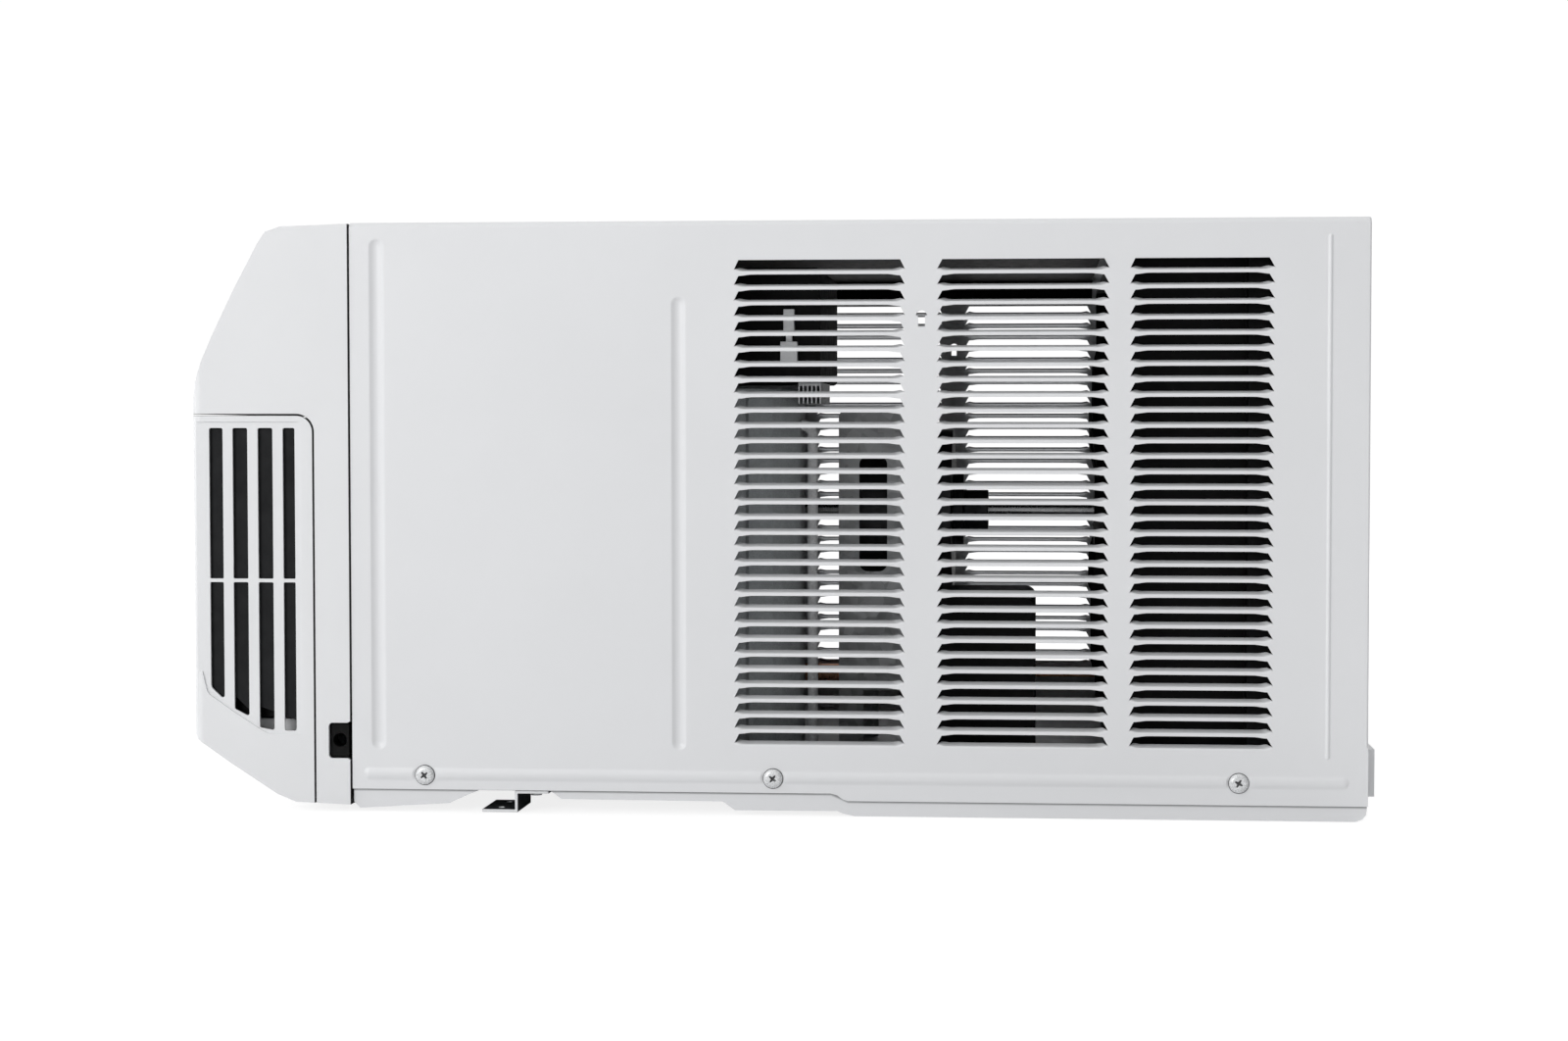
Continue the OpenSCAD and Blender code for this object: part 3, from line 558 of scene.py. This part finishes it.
# stadiums: y0, y1, z0, z1, height over the sheet (negative is pressed inwards)
BEADS = [(-261.9, -252.9, 40.6, 369.0, -1.6), (-65.9, -57.3, 41.8, 331.3, -1.6), (348.4, 351.0, 39.5, 369.0, 0.85)]
HBEAD = (-267.4, 363.0, 20.6, 28.2, 0.95)


def bead_height(y, z, b, soft=0.55):
    y0, y1, z0, z1, h = b
    w = min(y1 - y0, z1 - z0) / 2
    if y1 - y0 < z1 - z0:
        cy, c0, c1 = (y0 + y1) / 2, z0 + w, z1 - w
        d = math.hypot(y - cy, z - min(max(z, c0), c1))
    else:
        cz, c0, c1 = (z0 + z1) / 2, y0 + w, y1 - w
        d = math.hypot(z - cz, y - min(max(y, c0), c1))
    H0 = abs(h)
    R = (w * w + H0 * H0) / (2 * H0)
    v = math.sqrt(max(R * R - d * d, 0)) - (R - H0) if d < w else 0.0
    # a small fillet where the bead meets the flat sheet
    edge = w - soft
    if d > edge:
        ve = math.sqrt(R * R - edge * edge) - (R - H0)
        t = min((d - edge) / (2 * soft), 1.0)
        v = ve * (1 - t) ** 2
    return math.copysign(v, h)


def zb(i):
    return 347.7 - PITCH * i


def zc(i):
    """Level of the top corners of opening i; row 32 stands for the flat sheet below the last row."""
    if i == 0:
        return zb(0) + 6.95
    if i == ROWS:
        return zb(ROWS - 1) - 2.3
    return zb(i) + 6.6


def ztop(i, y, c):
    if i == 0 or i == ROWS:
        return zc(i)
    return zb(i) + 6.6 + 0.9 * s01(min(y - c[2], c[3] - y) / 9)


def ulist(width):
    e = [0, 1.1, 2.4, 4.0, 5.8, 8.4, 12.5]
    mid = [width / 2]
    ds = e + mid + [width - x for x in reversed(e)]
    return [d / width for d in ds]


V, F = [], []
index = {}


def vid(x, y, z):
    key = (round(x, 3), round(y, 3), round(z, 3))
    if key not in index:
        index[key] = len(V)
        V.append((x, y, z))
    return index[key]


def quad(a, b, c, d):
    g = []
    for i in (a, b, c, d):
        if i not in g:
            g.append(i)
    if len(g) > 2:
        F.append(tuple(g))


# louvre strips: land, bend and flap of every row
BR, BTH = 1.35, math.radians(78)
BL = BR * BTH
for c in COLS:
    U = ulist(c[1] - c[0])
    for i in range(ROWS):
        grid = []
        for u in U:
            y_land = c[2] + (c[3] - c[2]) * u
            col = [vid(HW, y_land, ztop(i + 1, y_land, c))]
            y_bot = c[0] + (c[1] - c[0]) * u
            d0 = -1.2 * s01(min(y_bot - c[0], c[1] - y_bot) / 6)
            arch = 0.0 if i == 0 else s01(min(y_bot - c[0], c[1] - y_bot) / 9)
            dmax = (6.95 if i == 0 else 6.6) + 0.9 * arch - 0.15
            ds = [d0 + BL * k / 6 for k in range(7)]
            ds += [ds[-1] + (dmax - ds[-1]) * t for t in (0.5, 1.0)]
            for d in ds:
                th = min((d - d0) / BR, BTH)
                over = max(0.0, d - d0 - BL)
                x = HW - BR * (1 - math.cos(th)) - over * math.sin(BTH)
                z = zb(i) + d0 + BR * math.sin(th) + over * math.cos(BTH)
                f = max(d, 0.0) / 6.6
                y = (c[0] + (c[2] - c[0]) * f) * (1 - u) + (c[1] + (c[3] - c[1]) * f) * u
                col.append(vid(x, y, z))
            grid.append(col)
        for a, b in zip(grid, grid[1:]):
            for k in range(len(a) - 1):
                quad(a[k], b[k], b[k + 1], a[k + 1])

# flat sheet: constrained triangulation with the bead patches left out
pts, edges, pidx = [], [], {}


def pid(y, z):
    key = (round(y, 3), round(z, 3))
    if key not in pidx:
        pidx[key] = len(pts)
        pts.append(Vector((y, z)))
    return pidx[key]


def loop(poly):
    ids = [pid(y, z) for y, z in poly]
    for a, b in zip(ids, ids[1:] + ids[:1]):
        if a != b:
            edges.append((a, b))


def lin(a, b, n):
    return [a + (b - a) * k / n for k in range(n + 1)]


def patch(ys, zs, fn):
    """A structured patch of the sheet, pushed in or out by fn, and its outline for the triangulation."""
    g = [[vid(HW + fn(y, z), y, z) for z in zs] for y in ys]
    for i in range(len(ys) - 1):
        for k in range(len(zs) - 1):
            quad(g[i][k], g[i + 1][k], g[i + 1][k + 1], g[i][k + 1])
    return [(y, zs[0]) for y in ys] + [(ys[-1], z) for z in zs[1:]] + [(y, zs[-1]) for y in reversed(ys[:-1])] + [(ys[0], z) for z in reversed(zs[1:-1])]


holes = []
for b in BEADS:
    y0, y1, z0, z1, h = b
    w = (y1 - y0) / 2
    m_ = 1.4
    ny = 18 if w > 2 else 12
    ys = [y0 - m_, y0 - 0.8] + lin(y0 - 0.4, y1 + 0.4, ny) + [y1 + 0.8, y1 + m_]
    cap = [0, 0.35, 0.8, 1.3, 1.9, 2.6, 3.4, 4.2, 5.0] if w > 2 else [0, 0.4, 0.9, 1.5, 2.2]
    zs = [z0 - m_, z0 - 0.8, z0 - 0.4] + [z0 + d for d in cap] + lin(z0 + 12, z1 - 12, 9) + [z1 - d for d in reversed(cap)] + [z1 + 0.4, z1 + 0.8, z1 + m_]
    holes.append(patch(ys, zs, lambda y, z, b=b: bead_height(y, z, b)))


def hbead(y, z):
    v = bead_height(y, z, HBEAD)
    for sy in SCREW_Y:
        d = math.hypot(y - sy, z - SCREW_Z)
        v *= s01((d - 6.9) / 1.1) if d < 8.0 else 1.0
    return v


hy = [HBEAD[0] - 1.4, HBEAD[0] - 0.8] + [HBEAD[0] + d for d in (0, 0.35, 0.8, 1.3, 1.9, 2.6, 3.4, 4.4, 6)]
for sy in SCREW_Y:
    hy += [sy - 12] + lin(sy - 8.4, sy + 8.4, 24) + [sy + 12]
hy += [HBEAD[1] - d for d in (6, 4.4, 3.4, 2.6, 1.9, 1.3, 0.8, 0.35, 0)] + [HBEAD[1] + 0.8, HBEAD[1] + 1.4]
hy = sorted(set(hy + lin(-200, -40, 4) + lin(30, 270, 6)))
hz = [HBEAD[2] - 1.2, HBEAD[2] - 0.8] + lin(HBEAD[2] - 0.4, HBEAD[3] + 0.4, 14) + [HBEAD[3] + 0.8, HBEAD[3] + 1.2]
holes.append(patch(hy, hz, hbead))
for c in COLS:
    left = [(c[2], zc(ROWS))]
    right = [(c[3], zc(ROWS))]
    for i in range(ROWS - 1, -1, -1):
        left += [(c[0], zb(i)), (c[2], zc(i))]
        right += [(c[1], zb(i)), (c[3], zc(i))]
    bottom = [(c[2] + (c[3] - c[2]) * u, zc(ROWS)) for u in ulist(c[1] - c[0])]
    holes.append(bottom + right[1:] + list(reversed(left))[:-1])
# keyhole: a dome over a narrower square slot
kh = [(91.5, 312.0), (95.9, 312.0), (95.9, 317.4), (95.9, 318.9), (97.2, 318.9)]
kh += [(93.7 + 3.5 * math.cos(math.radians(a)), 318.9 + 3.5 * math.sin(math.radians(a))) for a in range(15, 180, 15)]
kh += [(90.2, 318.9), (91.5, 318.9), (91.5, 317.4)]
holes.append(kh)
YB = 373.5
ytop = lin(YF, YB, 26)
zrear = [47.0] + lin(60, 376, 16)
outline = [(YF, 14.5), (-200, 14.5), (-120, 14.5), (-40, 14.5), (36, 14.5), (40, 13.5), (43.5, 10.9), (47, 9.8), (130, 9.8), (220, 9.8), (300, 9.8), (YB, 9.8)]
outline += [(YB, z) for z in zrear] + [(y, 376.0) for y in reversed(ytop[:-1])] + [(YF, z) for z in reversed(lin(14.5, 376, 15)[1:-1])]
loop(outline)
for h_ in holes:
    loop(h_)


def inside(y, z, poly):
    r = False
    n = len(poly)
    for k in range(n):
        (ya, za), (yb, zb_) = poly[k], poly[(k + 1) % n]
        if (za > z) != (zb_ > z) and y < (yb - ya) * (z - za) / (zb_ - za) + ya:
            r = not r
    return r


ov, oe, of_, _, _, _ = delaunay_2d_cdt(pts, edges, [], 0, 1e-5)
boxes = [(min(p[0] for p in h_), max(p[0] for p in h_), min(p[1] for p in h_), max(p[1] for p in h_)) for h_ in holes]
ids = [vid(HW, p.x, p.y) for p in ov]
for t in of_:
    cy = sum(ov[k].x for k in t) / 3
    cz = sum(ov[k].y for k in t) / 3
    if not inside(cy, cz, outline):
        continue
    if any(b[0] < cy < b[1] and b[2] < cz < b[3] and inside(cy, cz, h_) for b, h_ in zip(boxes, holes)):
        continue
    F.append(tuple(ids[k] for k in t))

# strip behind the rear fold's start, below the fold
low = [(YB, 9.8), (YR, 9.8)]
quad(vid(HW, YB, 9.8), vid(HW, YR, 9.8), vid(HW, YR, 47.0), vid(HW, YB, 47.0))

# path of the wrap from the side over the bend to the middle of the top: (x, z, inward normal, rank)
path = [((HW, z), (-1.0, 0.0), None) for z in zrear]
for k in range(1, 9):
    a = math.radians(90 * k / 8)
    path.append(((HW - WR + WR * math.cos(a), H - WR + WR * math.sin(a)), (-math.cos(a), -math.sin(a)), a))
xs_top = lin(HW - WR, 0, 12)[1:]
path += [((x, H), (0.0, -1.0), None) for x in xs_top]
# the bend and the top sheet
start = len(zrear) - 1
for (p, q) in zip(path[start:], path[start + 1:]):
    for ya, yb in zip(ytop, ytop[1:]):
        quad(vid(p[0][0], ya, p[0][1]), vid(p[0][0], yb, p[0][1]), vid(q[0][0], yb, q[0][1]), vid(q[0][0], ya, q[0][1]))
# the rear fold
FR = 1.5
prof = [(FR * (1 - math.cos(math.radians(a))), YB + FR * math.sin(math.radians(a))) for a in (0, 18, 36, 54, 72, 90)] + [(5.0, YR), (9.0, YR)]


def fold_point(p, n, y):
    (x, z), (nx, nz), a = p
    if a is not None and n > WR:
        return vid(HW - n, y, H - n)
    if a is None and nx == 0.0:
        x = min(x, HW - n) if x > HW - 12 else x
    if a is None and nz == 0.0 and z > H - 12:
        z = min(z, H - n)
    return vid(x + nx * n, y, z + nz * n)


for p, q in zip(path, path[1:]):
    for (na, ya), (nb, yb) in zip(prof, prof[1:]):
        quad(fold_point(p, na, ya), fold_point(p, nb, yb), fold_point(q, nb, yb), fold_point(q, na, ya))

# mirrored left half
n0 = len(V)
V2 = V + [(-x, y, z) for x, y, z in V]
F2 = F + [tuple(i + n0 for i in reversed(f)) for f in F]
me = bpy.data.meshes.new("cabinet_wrap_sheet")
me.from_pydata([(x * MM, y * MM, z * MM) for x, y, z in V2], [], F2)
bm = bmesh.new()
bm.from_mesh(me)
bmesh.ops.remove_doubles(bm, verts=bm.verts, dist=0.000004)
bm.normal_update()
# faces must look outwards: the side faces +X on the right
flip = [f for f in bm.faces if f.calc_center_median().x > 0.2985 and f.normal.x < -0.5]
if len(flip) > len(bm.faces) / 8:
    bmesh.ops.reverse_faces(bm, faces=bm.faces)
bm.to_mesh(me)
print("wrap", len(bm.verts), len(bm.faces), "boundary", sum(e.is_boundary for e in bm.edges), "bad", sum(len(e.link_faces) > 2 for e in bm.edges))
bm.free()
wrap = place("wrap_sheet", me, "white_paint", replaces=("cabinet_wrap",))
so = wrap.modifiers.new("sheet", "SOLIDIFY")
so.thickness = SHEET * MM
so.offset = -1
so.use_even_offset = False
so.use_quality_normals = True
bv = wrap.modifiers.new("edge", "BEVEL")
bv.width = 0.00022
bv.segments = 1
bv.limit_method = "ANGLE"
bv.angle_limit = math.radians(60)
wn = wrap.modifiers.new("normals", "WEIGHTED_NORMAL")
wn.weight = 90
wn.keep_sharp = False

# ------------------------------------------------------------------ screws with a cross recess
def screw_head(y, z, sgn, turn):
    """Pan head on the side sheet: polar grid, pushed in where the driver goes."""
    R = 6.15
    rings = [0.0, 0.25, 0.5, 0.75, 1.0, 1.25, 1.5, 1.75, 2.0, 2.2, 2.4, 2.6, 2.8, 3.0, 3.3, 3.7, 4.2, 4.7, 5.1, 5.5, 5.8, 6.0, 6.1, 6.15, 6.15, 6.2, 6.62, 6.62]
    high = {23: 0.75, 24: 0.30, 25: 0.07, 26: 0.05, 27: -0.02}
    seg = 96
    V, F = [], []

    def dome(r):
        t = r / R
        return 2.5 * (1 - 0.16 * t * t) - 1.35 * max(0.0, (t - 0.62) / 0.38) ** 2.2

    def cut(r, a):
        px, py = r * math.cos(a - turn), r * math.sin(a - turn)
        best = 0.0
        for u, v in ((px, py), (py, px)):
            w = 0.78 - 0.13 * abs(u)
            side = s01((w + 0.16 - abs(v)) / 0.32)
            end = s01((2.75 - abs(u)) / 0.4)
            best = max(best, side * end * (1.75 - 0.35 * abs(u)))
        return best

    for i, r in enumerate(rings):
        for k in range(seg):
            a = 2 * math.pi * k / seg
            h = high[i] if i in high else max(dome(r), 0.75) - cut(r, a)
            V.append((sgn * (HW + 0.02 + h), y + r * math.cos(a) * sgn, z + r * math.sin(a)))
            if i == 0:
                break
    F = [(0, 1 + k, 1 + (k + 1) % seg) for k in range(seg)]
    for i in range(1, len(rings) - 1):
        b0, b1 = 1 + (i - 1) * seg, 1 + i * seg
        for k in range(seg):
            k2 = (k + 1) % seg
            F.append((b0 + k, b1 + k, b1 + k2, b0 + k2))
    last = 1 + (len(rings) - 2) * seg
    F.append(tuple(reversed([last + k for k in range(seg)])))
    # painted shade: the cross recess and a ring round the head, where it meets the sheet, get a darker material than
    # the head
    D = []
    for f in F:
        rr = [math.hypot(V[i][1] - y, V[i][2] - z) for i in f]
        r_ = sum(rr) / len(rr)
        cy = sum(V[i][1] for i in f) / len(f) - y
        cz = sum(V[i][2] for i in f) / len(f) - z
        D.append(1 if len(f) > 8 or r_ > 6.13 or (r_ < 3.2 and cut(r_, math.atan2(cz, cy * sgn)) > 0.28) else 0)
    return V, F, D


parts, shade = [], []
for sgn in (1, -1):
    for k, y in enumerate(SCREW_Y):
        parts.append(screw_head(y, SCREW_Z, sgn, math.radians((38, 52, 61)[k] + (17 if sgn < 0 else 0))))
for q in parts:
    shade += q[2]
V_, F_ = merge([q[:2] for q in parts])
heads = add("screw_heads", V_, F_, "screw_paint", replaces=("cabinet_screws",))
# dark material painted on the recess and the ring round the head as their shade
m = Mat("screw_recess_shade")
m.color(m.ramp(m.noise(600, 3), [(0.3, (0.055, 0.056, 0.058)), (0.7, (0.13, 0.132, 0.135))]))
m.rough(m.remap(m.noise(900, 3), 0.4, 0.6, 0.3, 0.7))
m.bump(m.noise(1500, 2), 0.00002)
m.put(Metallic=0.3)
heads.data.materials.append(m.m)
heads.data.polygons.foreach_set("material_index", shade)

# ------------------------------------------------------------------ tubes as drawn and bent
V_, F_ = tube([(263.6, -329, 66), (282, -329, 66), (282, -61, 66), (260.3, -61, 66)], 5.9, bend=15, seg=20)
add("suction_line", V_, F_, "copper", replaces=("suction_tube",))
V_, F_ = tube([(205, 8.4, 250), (205, 16, 250), (205, 16, 33), (276, 16, 33), (276, 324, 33), (263.6, 324, 33)], 3.55, bend=7.5, seg=18)
add("discharge_line", V_, F_, "pipe_foam", replaces=("discharge_tube",))
drier = spin([(0.05, -60.0), (2.3, -60.0), (2.6, -57), (5.5, -53.5), (7.6, -50), (8.0, -47), (8.0, -6), (7.6, -2), (5.4, 3), (2.6, 7), (2.3, 10), (0.05, 10.0)], (-282, 0, 36), (0, 1, 0), 32)
V_, F_ = merge([tube([(-263.6, 324, 36), (-282, 324, 36), (-282, -296, 36), (-282, -296, 70), (-282, -329, 70), (-263.6, -329, 70)], 1.95, bend=8, seg=14), drier])
add("liquid_line", V_, F_, "copper", replaces=("liquid_tube",))


# ------------------------------------------------------------------ finned coils
def finned(y0, y1, z0, z1, tube_z, tube_y, pitch=1.8):
    parts = []
    n = int(523 / pitch)
    for k in range(n + 1):
        x = -261.5 + 523 * k / n
        zig = 0.25 if k % 2 else -0.25
        parts.append(boxm((x - 0.07, y0 + 0.3 + max(zig, 0), z0 + 0.2), (x + 0.07, y1 - 0.3 + min(zig, 0), z1 - 0.2)))
    for sx in (-1, 1):
        xa, xb = sorted((sx * 262.0, sx * 263.35))
        parts.append(boxm((xa, y0 - 2, z0 - 1.5), (xb, y1 + 2, z1 + 1.5)))
        for e in (y0 - 2, y1 + 2):
            ya, yb = sorted((e, e + (1.3 if e < y0 else -1.3)))
            xc, xd = sorted((sx * 254.0, sx * 262.5))
            parts.append(boxm((xc, ya, z0 - 1.5), (xd, yb, z1 + 1.5)))
    for ty in tube_y:
        for tz in tube_z:
            if tz + 4.2 > z1:
                continue
            parts.append(spin([(0.05, -263.2), (4.1, -263.2), (4.1, 263.2), (0.05, 263.2)], (0, ty, tz), (1, 0, 0), 12))
    return merge(parts)


V_, F_ = finned(-350, -308, 42, 240, [67 + 19 * k for k in range(10)], (-340, -318))
add("evaporator_fins", V_, F_, "fins", replaces=("evaporator_coil",), smooth=False)
V_, F_ = finned(309, 350, 20, 364, [62 + 21 * k for k in range(14)], (319, 340))
add("condenser_fins", V_, F_, "fins", replaces=("condenser_coil",), smooth=False)

# ------------------------------------------------------------------ dark sheets behind the side slots: painted shade for the dark seen through them
line2 = [(-374.5, 251.3), (-374.5, 84), (-366, 72), (-358.5, 68.5), (-353.5, 74.5), (-342.3, 63.5), (-336, 67), (-325, 63.2), (-309.5, 57.2), (-309.5, 251.3)]
V_, F_ = [], []
for sgn in (1, -1):
    k = len(V_)
    n = len(line2)
    V_ += [(sgn * 296.6, y, z) for y, z in line2] + [(sgn * 295.2, y, z) for y, z in line2]
    front_, back_ = tuple(k + i for i in range(n)), tuple(k + n + i for i in range(n))
    F_ += [front_ if sgn < 0 else tuple(reversed(front_)), tuple(reversed(back_)) if sgn < 0 else back_]
    for i in range(n):
        q = (k + i, k + (i + 1) % n, k + n + (i + 1) % n, k + n + i)
        F_.append(tuple(reversed(q)) if sgn < 0 else q)
add("side_slot_shade_screens", V_, F_, "dark_plastic", body="intake_panel", smooth=False)

# ------------------------------------------------------------------ black sheet under the top of the outdoor bay: painted shade for the dark under the top
prof_ = [(-297.2, 356.5), (-297.2, 374.6), (-296.3, 377.2), (-293.8, 378.2), (293.8, 378.2), (296.3, 377.2), (297.2, 374.6), (297.2, 356.5),
         (294.6, 356.5), (294.6, 373.4), (293.2, 375.4), (-293.2, 375.4), (-294.6, 373.4), (-294.6, 356.5)]
ya, yb = -149.0, 213.0
n = len(prof_)
V_ = [(x, ya, z) for x, z in prof_] + [(x, yb, z) for x, z in prof_]
F_ = [(i, (i + 1) % n, n + (i + 1) % n, n + i) for i in range(n)]
strip_ = [(0, 1, 12, 13), (1, 2, 3, 11, 12), (3, 4, 10, 11), (4, 5, 6, 9, 10), (6, 7, 8, 9)]
F_ += [tuple(f) for f in strip_] + [tuple(n + i for i in reversed(f)) for f in strip_]
lin_ = add("top_shade_sheet", V_, F_, "black_plastic", smooth=False)
bm = bmesh.new()
bm.from_mesh(lin_.data)
bmesh.ops.recalc_face_normals(bm, faces=bm.faces)
bm.to_mesh(lin_.data)
bm.free()

# ------------------------------------------------------------------ CAD nodes that stay
BEVELS = {
    "base_pan": (0.0006, 2), "bracket_left": (0.0004, 2), "bracket_right": (0.0004, 2), "rear_guard": (0.0004, 1),
    "front_frame": (0.0006, 3), "intake_panel": (0.0008, 3), "filter_frame": (0.0004, 1), "control_panel": (0.0005, 2),
    "display_lens": (0.0004, 2), "louvre_housing": (0.0003, 1), "horizontal_link": (0.0003, 1), "vertical_tie_bar": (0.0003, 1),
    "swing_motor": (0.0006, 2), "cord_gland": (0.0008, 2), "blower_scroll": (0.0012, 2), "bulkhead": (0.0003, 1),
    "motor_bracket": (0.0004, 2), "condenser_shroud": (0.0006, 2), "compressor_jacket": (0.002, 3), "control_box": (0.0006, 2),
    "heat_sink": (0.00015, 1), "power_board": (0.0003, 1), "inverter_box": (0.0006, 2), "wire_connector": (0.0004, 2),
    "drain_plug": (0.0006, 2), "compressor_grommets": (0.0008, 2), "coil_sensor": (0.0003, 1), "display_board": (0.0003, 1),
    "condenser_fan": (0.0007, 2), "blower_wheel": (0.0002, 1), "compressor": (0.0012, 3), "fan_motor": (0.0012, 3),
    "bracket_screws": (0.0002, 2), "fan_shaft": (0.0004, 2),
}
for name in NODES:
    if name.startswith("button_"):
        BEVELS[name] = (0.0006, 3)
    if name.startswith("horizontal_vane") or name.startswith("vertical_vane"):
        BEVELS[name] = (0.0005, 2)
for name, ob in NODES.items():
    ob.data.materials.clear()
    own = SHELL if name in ("front_frame", "intake_panel") else BRACKET if name in ("bracket_left", "bracket_right") else PAN if name == "base_pan" else None
    ob.data.materials.append(own or MATS[SLOT_OF[name]])
    if name in ("cabinet_wrap", "cabinet_screws", "suction_tube", "discharge_tube", "liquid_tube", "evaporator_coil", "condenser_coil"):
        continue
    ob.data.polygons.foreach_set("use_smooth", [True] * len(ob.data.polygons))
    w, seg = BEVELS.get(name, (0.0004, 1))
    bevel(ob, w, seg, weld=True, dissolve=name not in ("compressor", "fan_motor", "fan_shaft"))

# ------------------------------------------------------------------ floor and light
fl = bpy.data.meshes.new("floor")
fl.from_pydata([(-30, -30, -0.0004), (30, -30, -0.0004), (30, 30, -0.0004), (-30, 30, -0.0004)], [], [(0, 1, 2, 3)])
floor = bpy.data.objects.new("floor", fl)
scene.collection.objects.link(floor)
m = bpy.data.materials.new("studio_floor")
m.use_nodes = True
nt = m.node_tree
b0 = nt.nodes["Principled BSDF"]
b0.inputs["Base Color"].default_value = (0.72, 0.72, 0.725, 1)
b0.inputs["Roughness"].default_value = 0.9
bd = nt.nodes.new("ShaderNodeBsdfDiffuse")
bd.inputs["Color"].default_value = (0.25, 0.25, 0.25, 1)
be = nt.nodes.new("ShaderNodeEmission")
be.inputs["Color"].default_value = (1, 1, 1, 1)
be.inputs["Strength"].default_value = 0.84
b1 = nt.nodes.new("ShaderNodeAddShader")
nt.links.new(bd.outputs[0], b1.inputs[0])
nt.links.new(be.outputs[0], b1.inputs[1])
lp = nt.nodes.new("ShaderNodeLightPath")
mx = nt.nodes.new("ShaderNodeMixShader")
nt.links.new(lp.outputs["Is Camera Ray"], mx.inputs[0])
nt.links.new(b0.outputs[0], mx.inputs[1])
nt.links.new(b1.outputs[0], mx.inputs[2])
nt.links.new(mx.outputs[0], nt.nodes["Material Output"].inputs["Surface"])
fl.materials.append(m)

world = bpy.data.worlds.new("studio")
scene.world = world
world.use_nodes = True
nt = world.node_tree
for n in list(nt.nodes):
    nt.nodes.remove(n)
out = nt.nodes.new("ShaderNodeOutputWorld")
tc = nt.nodes.new("ShaderNodeTexCoord")
sp = nt.nodes.new("ShaderNodeSeparateXYZ")
nt.links.new(tc.outputs["Generated"], sp.inputs[0])


def wm(op, a, b):
    n = nt.nodes.new("ShaderNodeMath")
    n.operation = op
    for k, v in enumerate((a, b)):
        if isinstance(v, (int, float)):
            n.inputs[k].default_value = v
        else:
            nt.links.new(v, n.inputs[k])
    return n.outputs[0]


SKY, UP, SIDE, FRONT = 0.49, 0.34, -0.46, 0.0
val = wm("ADD", wm("MULTIPLY", sp.outputs["Z"], UP), SKY)
val = wm("ADD", val, wm("MULTIPLY", sp.outputs["Y"], SIDE))
val = wm("ADD", val, wm("MULTIPLY", sp.outputs["X"], FRONT))
val = wm("MAXIMUM", val, 0.1)
bg = nt.nodes.new("ShaderNodeBackground")
bg.inputs["Color"].default_value = (1, 1, 1, 1)
nt.links.new(val, bg.inputs["Strength"])
bgc = nt.nodes.new("ShaderNodeBackground")
bgc.inputs["Color"].default_value = (1, 1, 1, 1)
bgc.inputs["Strength"].default_value = 1.02
lp = nt.nodes.new("ShaderNodeLightPath")
mx = nt.nodes.new("ShaderNodeMixShader")
nt.links.new(lp.outputs["Is Camera Ray"], mx.inputs[0])
nt.links.new(bg.outputs[0], mx.inputs[1])
nt.links.new(bgc.outputs[0], mx.inputs[2])
nt.links.new(mx.outputs[0], out.inputs[0])


def area(name, loc, target, size, power):
    l = bpy.data.lights.new(name, "AREA")
    l.shape = "RECTANGLE"
    l.size, l.size_y = size
    l.energy = power
    o = bpy.data.objects.new(name, l)
    scene.collection.objects.link(o)
    o.location = loc
    o.rotation_mode = "QUATERNION"
    o.rotation_quaternion = (Vector(target) - Vector(loc)).to_track_quat("-Z", "Y")
    o.visible_camera = False
    return o


area("key", (3.3, -2.1, 1.25), (0.3, -0.02, 0.2), (1.5, 1.5), 47)
area("front", (-0.6, -3.4, 1.5), (0.0, -0.2, 0.2), (1.8, 1.8), 20)
area("fill", (-2.6, 2.6, 1.4), (-0.2, 0.1, 0.2), (1.8, 1.8), 80).visible_glossy = False
